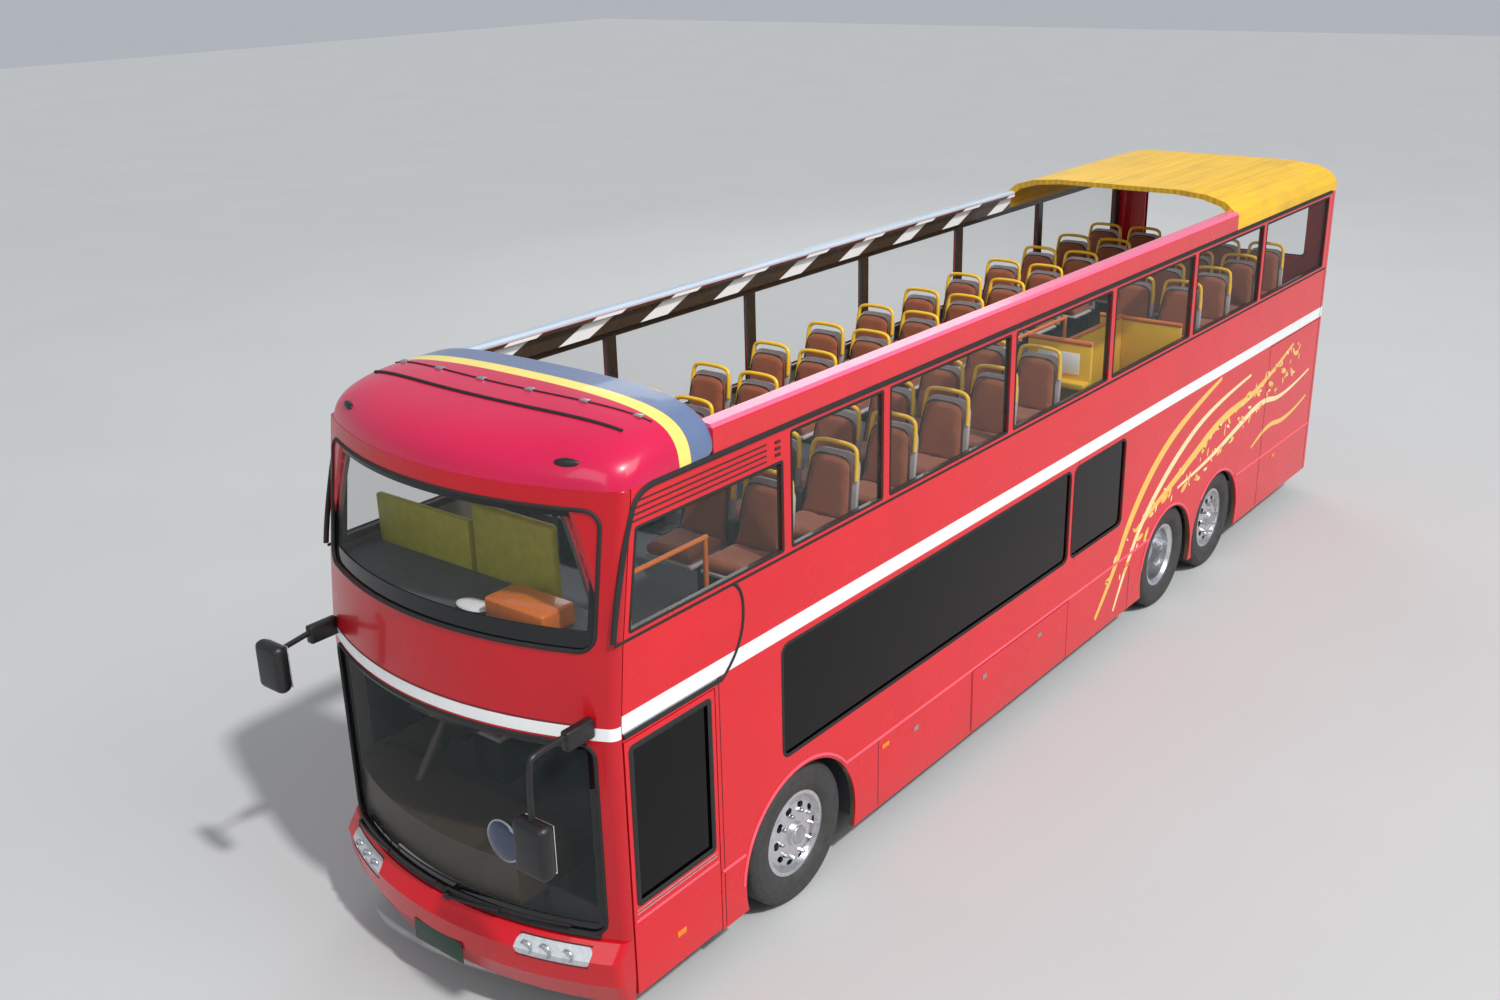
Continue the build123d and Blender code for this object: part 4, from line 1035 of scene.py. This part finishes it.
class BUS_OT_front_trim(bpy.types.Operator):
    """Adds the front roof, screen rubber, roof seams, lamp bowls and blank plate of the front"""

    bl_idname = "bus.front_trim"
    bl_label = "Front trim"

    def screen_ring(self, foot, head):
        """Rubber round one windscreen, on the frame just outside the opening."""
        points = rounded_outline((-1.135, 1.135), (foot, head), 0.09, 4)
        dense = []
        for (y, z), (next_y, next_z) in zip(points, points[1:] + points[:1]):
            parts = max(1, round(abs(next_y - y) / 0.16))
            dense += [(y + (next_y - y) * k / parts, z + (next_z - z) * k / parts) for k in range(parts)]
        return tube([hit_from_front("front_frame", y, z) for y, z in dense], 0.013, closed=True)

    def cap_outline(self, z, front, half, corner):
        """Half rounded outline of the cap in plan, from its right rear edge round to its left one."""

        def nose(y):
            return front - NOSE_RADIUS + (NOSE_RADIUS**2 - y * y) ** 0.5

        back = CAP_BACK - FRONT_AXLE
        edge, inner = nose(half), half - corner
        left = [(nose(y), y) for y in evenly(0, inner, 5)]
        for step in (0.25, 0.5, 0.75, 1.0):
            away = 1 - step
            x = away * away * nose(inner) + 2 * away * step * edge + step * step * (edge - corner)
            y = away * away * inner + 2 * away * step * half + step * step * half
            left.append((x, y))
        left += [(edge - corner + (back - edge + corner) * step / 3, half) for step in (1, 2, 3)]
        right = [(x, -y) for x, y in reversed(left[1:])]
        return [(FRONT_AXLE + x, y, z) for x, y in right + left]

    def smooth_cap(self):
        """The front roof without facets: outlines bridged, then subdivided and given a thickness."""
        cap = join([line(self.cap_outline(*level)) for level in CAP_LEVELS])
        edit()
        bpy.ops.mesh.select_mode(type="EDGE")
        bpy.ops.mesh.select_all(action="SELECT")
        bpy.ops.mesh.bridge_edge_loops()
        bpy.ops.mesh.select_all(action="SELECT")
        bpy.ops.mesh.remove_doubles(threshold=0.004)
        leave_edit()
        apply(cap, "SUBSURF", levels=2, subdivision_type="CATMULL_CLARK")
        edit()
        outwards()
        leave_edit()
        apply(cap, "SOLIDIFY", thickness=0.03, offset=-1)
        return fit(cap, "smooth_front_roof", "cap_paint", replaced=("front_roof",), smooth=60)

    def from_above(self, cap, x, y):
        """The point on the cap under a place, on a line that bends back towards the sides."""
        return hit(cap, (FRONT_AXLE + x - 0.10 * y * y, y, 6), (0, 0, -1))

    def roof_fittings(self, cap):
        """The crease and the rail of clips across the cap, and its two dark lamps."""
        seams = []
        for x, reach, radius in ((CREASE, 1.04, 0.012), (CLIPS, 1.08, 0.006)):
            places = [self.from_above(cap, x, y) for y in evenly(-reach, reach, 24)]
            seams.append(tube([place + Vector((0, 0, 0.002)) for place in places], radius))
        fit(seams, "roof_seams", "window_rubber")
        clips = []
        for y in CLIP_PLACES:
            place = self.from_above(cap, CLIPS, y)
            low, high = place - Vector((0.02, 0.03, 0.004)), place + Vector((0.02, 0.03, 0.012))
            clips.append(rounded_block(low, high, 0.004))
        fit(clips, "roof_clips", "steel")
        lamps = []
        for side in (1, -1):
            place = hit(cap, (NOSE + 2, side * 0.92, 3.57), (-1, 0, 0))
            lamps.append(ball(place - Vector((0.006, 0, 0)), (0.022, 0.075, 0.028), turn=radians(side * 22)))
        fit(lamps, "roof_marker_lamps", "black_trim")

    def headlamp_bowls(self):
        """Bright round bowls, and a dark edge above and below both headlamps."""
        foot, head = LAMP
        bowls, edges = [], []
        for side in (1, -1):
            for y, radius in BOWLS:
                place = hit_from_front("lamps", side * y, (foot + head) / 2)
                bowls.append(hoop(place + Vector((0.001, 0, 0)), radius, 0.006))
            for z in (foot - 0.004, head + 0.004):
                places = [hit_from_front("bumper", side * y, z) for y in evenly(0.63, 1.08, 8)]
                edges.append(tube(places, 0.004))
        fit(bowls, "headlamp_bowls", "steel")
        fit(edges, "headlamp_edges", "window_rubber")

    def execute(self, context):
        cap = self.smooth_cap()
        rings = [self.screen_ring(*LOW_SCREEN), self.screen_ring(*HIGH_SCREEN)]
        fit(rings, "screen_rubber", "window_rubber")
        # A black band along the screen's foot: partly the dark gap above the bumper, partly painted shadow
        # there
        fit(front_line(0.724, 1.10, 0.017), "screen_foot_band", "window_rubber")
        self.roof_fittings(cap)
        fit(front_line(2.118, 1.15, 0.004), "band_edge", "seam_shade")
        foot, head = PLATE
        x = hit_from_front("bumper", 0, (foot + head) / 2).x + 0.012
        plate = rounded_block((x, -HALF_PLATE, foot), (x + 0.006, HALF_PLATE, head), 0.0025)
        fit(plate, "blank_plate", "plate_green")
        self.headlamp_bowls()
        return {"FINISHED"}


class BUS_OT_rear_trim(bpy.types.Operator):
    """Adds the louvres, latches, seams and window rubber of the rear"""

    bl_idname = "bus.rear_trim"
    bl_label = "Rear trim"

    def lay(self, points, radius, closed=False):
        """A trim line on the rear wall, through (y, z) points."""
        x = TAIL - 0.0005
        piece = tube([(x, y, z) for y, z in points], radius, closed=closed)
        return flatten(piece, 0, x, 0.4)

    def execute(self, context):
        low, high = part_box("engine_lid")
        slats = [
            rounded_block((TAIL - 0.006, -0.62, z), (TAIL + 0.004, 0.62, z + 0.022), 0.004)
            for z in evenly(low.z + 0.34, high.z - 0.16, 11)
        ]
        fit(slats, "engine_louvres", "seam_shade", "engine_lid")
        foot, head = low.z + 0.10, low.z + 0.135
        latches = [
            rounded_block((TAIL - 0.007, y - 0.045, foot), (TAIL + 0.003, y + 0.045, head), 0.003)
            for y in (-0.62, 0.62)
        ]
        fit(latches, "engine_latches", "steel", "engine_lid")
        outline = rounded_outline((-0.95, 0.95), (2.66, 3.30), 0.05)
        fit(self.lay(outline, 0.016, closed=True), "rear_window_rubber", "window_rubber")
        seams = []
        for z, radius in ((2.60, 0.007), (0.40, 0.005), (1.56, 0.005)):
            seams.append(self.lay([(-1.12, z), (1.12, z)], radius))
        fit(seams, "rear_seams", "seam_shade")
        grip = ((0.001, -0.10), (0.020, -0.08), (0.020, 0.08), (0.001, 0.10))
        handle = tube([(TAIL - away, y, low.z + 0.06) for away, y in grip], 0.008, smooth=3)
        fit(handle, "engine_lid_handle", "black_trim", "engine_lid")
        return {"FINISHED"}


# Ribbons of a side: half width and points
RIBBONS = {
    "gold_film": (
        (0.062, [(-6.9, 2.02), (-6.2, 1.88), (-5.5, 1.62), (-4.95, 1.18), (-4.66, 0.72), (-4.35, 0.42)]),
        (0.055, [(-8.9, 1.92), (-8.0, 1.62), (-7.0, 1.60), (-6.2, 1.34), (-5.5, 1.14), (-5.1, 1.02)]),
        (0.034, [(-9.5, 1.20), (-8.9, 1.06), (-8.3, 1.18), (-7.9, 1.02)]),
    ),
    "straw_film": (
        (0.046, [(-7.7, 1.86), (-6.7, 1.78), (-5.9, 1.50), (-5.25, 1.10), (-4.92, 0.70), (-4.72, 0.36)]),
        (0.038, [(-9.5, 1.50), (-8.7, 1.36), (-8.1, 1.50), (-7.4, 1.36), (-6.7, 1.22), (-6.0, 1.16)]),
    ),
}
# Flecks of each material: how many, and their share of the full size
FLECKS = {"gold_film": (44, 1), "straw_film": (60, 0.55)}
ON_PAINT = SIDE + 0.0004
FLECK_CLEARANCE = 0.66


class BUS_OT_side_artwork(bpy.types.Operator):
    """Lays plain ribbons and flecks over the rear wheels of both sides"""

    bl_idname = "bus.side_artwork"
    bl_label = "Side artwork"

    def ribbon(self, side, width, points):
        y = side * ON_PAINT
        count = len(points) - 1
        shares = [0.15 + 0.85 * sin(pi * min(0.9, max(0.08, step / count))) for step in range(count + 1)]
        places = [(FRONT_AXLE + x, y, z) for x, z in points]
        return flatten(tube(places, width, smooth=10, round_steps=1, radii=shares), 1, y, 0.02)

    def fleck(self, side, x, z, size, turn):
        deselect()
        bpy.ops.mesh.primitive_circle_add(
            vertices=14, radius=size, fill_type="NGON", location=(FRONT_AXLE + x, side * ON_PAINT, z)
        )
        fleck = bpy.context.object
        fleck.rotation_euler = (side * pi / 2, radians(turn), 0)
        fleck.scale = (1.5, 0.55, 1)
        settle(fleck)
        edit()
        bpy.ops.mesh.extrude_region_move(TRANSFORM_OT_translate={"value": (0, side * 0.0008, 0)})
        outwards()
        return leave_edit()

    def clear_of_wheels(self, x, z):
        for axle in (DRIVE_AXLE - FRONT_AXLE, TAG_AXLE - FRONT_AXLE):
            if (x - axle) ** 2 + (z - ARCH_CENTRE) ** 2 < FLECK_CLEARANCE**2:
                return False
        return z < 1.98 and not (x > -4.85 and z > 1.12)

    def flecks(self, side, count, share_of_size):
        """Flecks along a rising arc, swinging to both sides of it."""
        pieces = []
        for step in range(count):
            share = (step + 0.5) / count
            x = -4.45 - 4.7 * share**0.8
            z = 0.62 + 1.15 * share**0.55 + 0.16 * sin(step * 2.4)
            size = 0.026 + 0.026 * (0.5 + 0.5 * sin(step * 1.7))
            if self.clear_of_wheels(x, z):
                pieces.append(self.fleck(side, x, z, size * share_of_size, step * 47))
        return pieces

    def execute(self, context):
        for label, side in SIDES:
            for film, (count, share_of_size) in FLECKS.items():
                pieces = [self.ribbon(side, *ribbon) for ribbon in RIBBONS[film]]
                pieces += self.flecks(side, count, share_of_size)
                fit(pieces, f"ribbons_{film}_{label}", film)
        return {"FINISHED"}


# Rows of seats, by the top of their backs ahead of the front axle
FAR_ROWS = [-0.25 - 0.775 * row for row in range(12)]
NEAR_ROWS = [-0.10 - 0.715 * row for row in range(6)] + [-6.50 - 0.715 * row for row in range(4)]
LOW_ROWS = [-1.30 - 0.76 * row for row in range(3)]
DRIVER = (FRONT_AXLE + 0.63, -0.65, 0.78)


class BUS_OT_seats(bpy.types.Operator):
    """Models one padded seat and copies it to every place"""

    bl_idname = "bus.seats"
    bl_label = "Seats"

    def tapered(self, low, high, share, corner):
        """A block whose top is narrower and has wide rounded corners."""
        low, high = Vector(low), Vector(high)
        piece = block(low, high)
        select_faces(piece, lambda centre, normal: normal.z > 0.9)
        bpy.ops.transform.resize(value=(1, share, 1), center_override=(0, (low.y + high.y) / 2, high.z))
        bpy.ops.mesh.select_mode(type="EDGE")
        bpy.ops.mesh.select_all(action="DESELECT")
        leave_edit()
        corners = piece.data.vertices
        for edge in piece.data.edges:
            first, second = (corners[end].co for end in edge.vertices)
            runs_along = abs(first.x - second.x) > 0.8 * (high.x - low.x)
            edge.select = runs_along and min(first.z, second.z) > high.z - 0.001
        bpy.ops.object.mode_set(mode="EDIT")
        bpy.ops.mesh.bevel(offset=corner, segments=5, affect="EDGES", clamp_overlap=True)
        return leave_edit()

    def pad(self, piece, cap):
        """Fills a block like a pad: remeshed, and blown out by cloth pressure, by the cap at most."""
        apply(piece, "REMESH", mode="VOXEL", voxel_size=0.016)
        rest = [vertex.co.copy() for vertex in piece.data.vertices]
        cloth = piece.modifiers.new("fill", "CLOTH")
        cloth.settings.use_pressure = True
        cloth.settings.uniform_pressure_force = seat_sizes().crown
        cloth.settings.effector_weights.gravity = 0
        cloth.settings.tension_stiffness = 30
        cloth.settings.compression_stiffness = 30
        for step in range(1, 13):
            bpy.context.scene.frame_set(step)
        choose(piece)
        bpy.ops.object.modifier_apply(modifier=cloth.name)
        for vertex, start in zip(piece.data.vertices, rest):
            move = vertex.co - start
            if move.length > cap:
                vertex.co = start + move.normalized() * cap
        bpy.context.scene.frame_set(1)
        return piece

    def lean_back(self, piece):
        """Turns a seat's back to its slope and sets its foot on the cushion's rear."""
        piece.rotation_euler = (0, radians(-12), 0)
        piece.location = (0.083, 0, 0.430)
        return settle(piece)

    def master_pads(self):
        """Back and cushion pads of one seat whose back's top is at the origin's x and height 0.9."""
        half = seat_sizes().width / 2 - 0.022
        back = self.pad(self.tapered((-0.004, -half, 0.0), (0.058, half, 0.45), 0.84, 0.085), 0.014)
        self.lean_back(back)
        cushion = self.pad(rounded_block((0.125, -half, 0.395), (0.475, half, 0.475), 0.026, 3), 0.012)
        return join([back, cushion])

    def master_piping(self):
        """The dark seam round the pad's edge."""
        half = seat_sizes().width / 2 - 0.024
        high = half * 0.84
        right = [
            (0.118, half, 0.45), (0.052, high + 0.006, 0.79), (0.040, high - 0.030, 0.862),
            (0.036, high - 0.090, 0.876),
        ]
        return tube([(x, -y, z) for x, y, z in right] + right[::-1], 0.006, smooth=4)

    def master_shell(self):
        """The pale rim and rear of a seat's back, and the tray under its cushion."""
        half = seat_sizes().width / 2
        shell = self.tapered((-0.022, -half, -0.03), (0.010, half, 0.478), 0.86, 0.10)
        choose(shell)
        edit()
        bpy.ops.mesh.bevel(offset=0.007, segments=2, affect="EDGES", clamp_overlap=True)
        leave_edit()
        self.lean_back(shell)
        tray = rounded_block((0.10, -half + 0.02, 0.372), (0.47, half - 0.02, 0.40), 0.008, 2)
        return join([shell, tray])

    def master_handle(self):
        right = [(0.030, 0.188, 0.72), (0.006, 0.182, 0.88), (-0.002, 0.165, 0.935), (-0.004, 0.10, 0.952)]
        arch = [(x, -y, z) for x, y, z in right] + [(-0.004, 0, 0.954)] + right[::-1]
        return tube(arch, seat_sizes().handle_radius, smooth=5, round_steps=3)

    def master_feet(self):
        """The foot, cross rails and a dark block between the two seats of a pair."""
        return join([
            rounded_block((0.22, -0.11, 0.001), (0.34, 0.11, 0.36), 0.012),
            rounded_block((0.17, -0.22, 0.001), (0.39, 0.22, 0.022), 0.008),
            rounded_block((0.16, -0.44, 0.345), (0.20, 0.44, 0.385), 0.008),
            rounded_block((0.36, -0.44, 0.345), (0.40, 0.44, 0.385), 0.008),
            rounded_block((0.02, -0.035, 0.42), (0.12, 0.035, 0.60), 0.012),
        ])

    def pairs(self, deck):
        """The places of a deck's pairs of seats."""
        across = seat_sizes().pair_place
        if deck == "upper":
            places = [(x, -across, DECK) for x in FAR_ROWS] + [(x, across, DECK) for x in NEAR_ROWS]
        else:
            places = [(x, side * across, SALOON) for x in LOW_ROWS for side in (1, -1)]
        return [(FRONT_AXLE + x, y, z) for x, y, z in places]

    def execute(self, context):
        half = seat_sizes().spacing / 2
        masters = {
            "pads": (self.master_pads(), "seat_cover"),
            "piping": (self.master_piping(), "piping"),
            "shells": (self.master_shell(), "seat_shell"),
            "handles": (self.master_handle(), "handle_yellow"),
            "feet": (self.master_feet(), "chassis_paint"),
        }
        for deck in ("upper", "lower"):
            pairs = self.pairs(deck)
            single = [(x, y + offset, z) for x, y, z in pairs for offset in (-half, half)]
            with_driver = single + [DRIVER] if deck == "upper" else single
            for kind, (master, look) in masters.items():
                if kind == "handles" and deck == "lower":
                    continue
                places = {"handles": single, "feet": pairs}.get(kind, with_driver)
                replaced = ("seats",) if (kind, deck) == ("pads", "upper") else ()
                copies = [copy_of(master, place) for place in places]
                piece = fit(copies, f"seat_{kind}_{deck}", look, replaced=replaced, smooth=50)
        foot = rounded_block((FRONT_AXLE + 0.80, -0.80, 0.781), (FRONT_AXLE + 1.05, -0.50, 1.17), 0.02)
        fit(foot, "driver_seat_foot", "black_trim")
        remove(*[master for master, _ in masters.values()])
        return {"FINISHED"}


class BUS_OT_mirrors(bpy.types.Operator):
    """Replaces the mirrors by rounded heads with glass faces on their arms"""

    bl_idname = "bus.mirrors"
    bl_label = "Mirrors"

    def head(self, centre, size):
        """A rounded mirror housing and its glass, which faces the driver."""
        centre, half = Vector(centre), Vector(size) / 2
        housing = rounded_block(centre - half, centre + half, 0.045, 4)
        proud, rim = Vector((0.004, 0, 0)), Vector((0, 0.018, 0.018))
        back = centre - Vector((half.x, 0, 0))
        pane = Vector((0, half.y, half.z)) - rim
        return housing, rounded_block(back - pane - proud, back + pane + proud, 0.0035, 2)

    def bracket(self, y):
        """The block that carries an arm on the front's shoulder."""
        x = FRONT_AXLE + 1.775
        return rounded_block((x, y - 0.030, 2.06), (x + 0.215, y + 0.030, 2.18), 0.014, 3)

    def execute(self, context):
        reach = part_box("mirrors")[1].x
        left_y, right_y = 1.125, -1.125
        head_x, round_x = reach - 0.055, reach - 0.075
        arm_x = FRONT_AXLE + 1.95
        left_head, left_glass = self.head((head_x, left_y, 1.60), (0.11, 0.25, 0.34))
        right_head, right_glass = self.head((head_x, right_y, 2.02), (0.10, 0.24, 0.32))
        round_place = (round_x, 0.86, 1.53)
        bowl = ball(round_place, (0.030, 0.125, 0.125), 32)
        rim = hoop(round_place, 0.124, 0.007, 48)
        bends = ((arm_x, 2.15), (arm_x + 0.25, 2.15), (head_x, 2.11), (head_x, 1.73))
        arm = [(x, left_y, z) for x, z in bends]
        left = [
            self.bracket(left_y),
            tube(arm, 0.018, smooth=4, round_steps=3),
            tube([(round_x, left_y - 0.05, 1.52), (round_x, 0.86, 1.52)], 0.012),
            left_head,
        ]
        right = [
            self.bracket(right_y),
            tube([(arm_x, right_y, 2.14), (round_x, right_y, 2.10)], 0.018, round_steps=3),
            right_head,
        ]
        fit(left, "mirror_left", "black_trim", replaced=("mirrors",))
        fit(right, "mirror_right", "black_trim")
        fit(bowl, "round_mirror", "mirror_dome")
        fit(rim, "round_mirror_rim", "steel")
        fit(left_glass, "mirror_glass_left", "mirror_face")
        fit(right_glass, "mirror_glass_right", "mirror_face")
        return {"FINISHED"}


STAIR_FRONT = FRONT_AXLE - 4.13
STAIR_REAR = FRONT_AXLE - 5.96
STAIR_SIDE = 0.60
WALL = 1.183


class BUS_OT_deck_fittings(bpy.types.Operator):
    """Adds the stair screens, the front shelf's boxes and the panels of the upper deck"""

    bl_idname = "bus.deck_fittings"
    bl_label = "Deck fittings"

    def stair(self):
        """Screens round the stairwell, with orange rails on top and a blank sign."""
        front, rear = STAIR_FRONT, STAIR_REAR
        screens = [
            rounded_block((front, STAIR_SIDE, DECK), (front + 0.03, WALL, 2.95), 0.010),
            rounded_block((rear, 0.38, DECK), (rear + 0.03, WALL + 0.002, 2.72), 0.010),
            rounded_block((front + 0.03, STAIR_SIDE, 2.60), (front + 0.15, WALL, 2.66), 0.012),
            rounded_block((front - 1.80, STAIR_SIDE - 0.015, DECK), (front, STAIR_SIDE + 0.015, 2.74), 0.010),
        ]
        fit(screens, "stair_screens", "panel_yellow")
        rails = [
            ((front + 0.015, STAIR_SIDE, 2.97), (front + 0.015, WALL, 2.97), 0.020),
            ((rear + 0.015, 0.38, 2.74), (rear + 0.015, WALL + 0.002, 2.74), 0.020),
            ((front, STAIR_SIDE, 2.76), (front - 1.80, STAIR_SIDE, 2.76), 0.018),
        ]
        tubes = [tube([start, end], radius, round_steps=3) for start, end, radius in rails]
        fit(tubes, "screen_rails", "orange_tube")
        sign = rounded_block((front + 0.030, 0.70, 2.70), (front + 0.034, 1.08, 2.88), 0.0015)
        fit(sign, "blank_stair_sign", "white_paint")

    def execute(self, context):
        self.stair()
        shelf = FRONT_AXLE + 1.40
        box = rounded_block((shelf + 0.10, 0.30, 2.541), (shelf + 0.36, 0.78, 2.68), 0.020, 3)
        fit(box, "front_box", "orange_tube")
        fit(ball((shelf + 0.30, 0.14, 2.560), (0.075, 0.13, 0.022)), "front_dome", "white_paint")
        panels = [
            rounded_block((FRONT_AXLE + 1.27, -1.18, DECK), (FRONT_AXLE + 1.32, -0.30, 2.86), 0.015),
            rounded_block((FRONT_AXLE + 1.24, -0.28, DECK), (FRONT_AXLE + 1.31, 0.42, 2.98), 0.030, 3),
        ]
        fit(panels, "front_panels", "panel_lime")
        return {"FINISHED"}


class BUS_OT_wipers(bpy.types.Operator):
    """Replaces the wipers by arms, blades and pivots at the foot of the screen"""

    bl_idname = "bus.wipers"
    bl_label = "Wipers"

    def wiper(self, low, high):
        """One wiper that lies along the screen's foot from its pivot at low to high."""
        blade = [
            hit_from_front("front_frame", y, 0.725) + Vector((0.026, 0, 0.055 + 0.010 * abs(y)))
            for y in evenly(low + 0.03, high, 10)
        ]
        arm = [
            hit_from_front("front_frame", y, 0.725) + Vector((0.040, 0, 0.055 * k / 6))
            for k, y in enumerate(evenly(low + 0.02, (low + high) / 2, 6))
        ]
        pieces = [tube(blade, 0.009), tube(arm, 0.010)]
        place = hit_from_front("front_frame", low + 0.025, 0.722) + Vector((0.021, 0, 0))
        deselect()
        bpy.ops.mesh.primitive_cylinder_add(
            vertices=24, radius=0.024, depth=0.045, location=place, rotation=(0, pi / 2, 0)
        )
        settle(bpy.context.object)
        edit()
        bpy.ops.mesh.bevel(offset=0.005, segments=2, affect="EDGES")
        return pieces + [leave_edit()]

    def execute(self, context):
        pieces = self.wiper(-1.05, -0.03) + self.wiper(0.03, 0.95)
        fit(pieces, "screen_wipers", "black_trim", replaced=("wipers",))
        return {"FINISHED"}


# Area lights: place, turn in degrees, size and power
LIGHTS = (
    ((2, 14, 14), (-42, 0, -8), 9, 1100),
    ((18, 4, 10), (0, 60, 0), 8, 450),
    ((-14, -10, 12), (45, -35, 0), 9, 500),
)
# Where the camera stands from the front axle, and how it is turned
CAMERA_PLACE = (6.851, 6.348, 6.181)
YAW, PITCH, ROLL = -2.466, 0.364, -0.025


class BUS_OT_stage(bpy.types.Operator):
    """Adds the floor, the lights and the camera"""

    bl_idname = "bus.stage"
    bl_label = "Stage"

    def floor(self):
        deselect()
        bpy.ops.mesh.primitive_plane_add(size=160, location=(0, 0, -0.001))
        floor = settle(bpy.context.object)
        floor.name = "floor"
        pale = Finish("pale_floor")
        pale.colour(pale.mix(pale.noise(0.4, 4), (0.46, 0.46, 0.455), (0.50, 0.50, 0.495)))
        pale.roughness(2, 3, 0.65, 0.8)
        floor.data.materials.append(pale.material)

    def lights(self, context):
        world = bpy.data.worlds.new("studio")
        world.use_nodes = True
        background = world.node_tree.nodes["Background"]
        background.inputs[0].default_value = (0.86, 0.92, 1.0, 1)
        background.inputs[1].default_value = 0.50
        context.scene.world = world
        context.scene.view_settings.view_transform = "Standard"
        for place, turn, size, power in LIGHTS:
            rotation = [radians(angle) for angle in turn]
            bpy.ops.object.light_add(type="AREA", location=place, rotation=rotation)
            light = bpy.context.object.data
            light.size = size
            light.energy = power
        bpy.ops.object.light_add(type="SUN", rotation=(radians(-38), radians(8), 0))
        sun = bpy.context.object.data
        sun.energy = 2.5
        sun.angle = radians(3)

    def camera(self, context):
        place = Vector((FRONT_AXLE, 0, 0)) + Vector(CAMERA_PLACE)
        ahead = Vector((cos(YAW) * cos(PITCH), sin(YAW) * cos(PITCH), -sin(PITCH)))
        right = ahead.cross(Vector((0, 0, 1))).normalized()
        up = right.cross(ahead)
        rolled_right = cos(ROLL) * right + sin(ROLL) * up
        rolled_up = -sin(ROLL) * right + cos(ROLL) * up
        turn = Matrix((rolled_right, rolled_up, -ahead)).transposed()
        bpy.ops.object.camera_add(location=place)
        camera = bpy.context.object
        camera.matrix_world = Matrix.Translation(place) @ turn.to_4x4()
        camera.data.sensor_width = 36
        camera.data.lens = 36 * 1491 / 1500
        camera.data.clip_end = 200
        context.scene.camera = camera

    def execute(self, context):
        self.floor()
        self.lights(context)
        self.camera(context)
        return {"FINISHED"}


OPERATORS = (
    BUS_OT_frame_finish,
    BUS_OT_tyres,
    BUS_OT_wheel_details,
    BUS_OT_window_rubber,
    BUS_OT_side_trim,
    BUS_OT_front_trim,
    BUS_OT_rear_trim,
    BUS_OT_side_artwork,
    BUS_OT_seats,
    BUS_OT_mirrors,
    BUS_OT_deck_fittings,
    BUS_OT_wipers,
    BUS_OT_stage,
)
GROUPS = {"bus_colours": BodyColours, "bus_seats": SeatSizes, "bus_trim": TrimSizes}


class BUS_PT_panel(bpy.types.Panel):
    """Lists the sizes, colours and steps of the bus's finishes"""

    bl_idname = "BUS_PT_panel"
    bl_label = "Open top bus"
    bl_space_type = "VIEW_3D"
    bl_region_type = "UI"
    bl_category = "Bus"

    def draw(self, context):
        for name, group in GROUPS.items():
            box = self.layout.box()
            for setting in group.__annotations__:
                box.prop(getattr(context.scene, name), setting)
        for operator in OPERATORS:
            self.layout.operator(operator.bl_idname)


def register():
    for group in GROUPS.values():
        bpy.utils.register_class(group)
    for name, group in GROUPS.items():
        setattr(bpy.types.Scene, name, PointerProperty(type=group))
    for kind in (*OPERATORS, BUS_PT_panel):
        bpy.utils.register_class(kind)


def unregister():
    for kind in (BUS_PT_panel, *reversed(OPERATORS)):
        bpy.utils.unregister_class(kind)
    for name, group in GROUPS.items():
        delattr(bpy.types.Scene, name)
        bpy.utils.unregister_class(group)


def main():
    register()
    for operator in OPERATORS:
        family, name = operator.bl_idname.split(".")
        getattr(getattr(bpy.ops, family), name)()


if __name__ == "__main__":
    main()
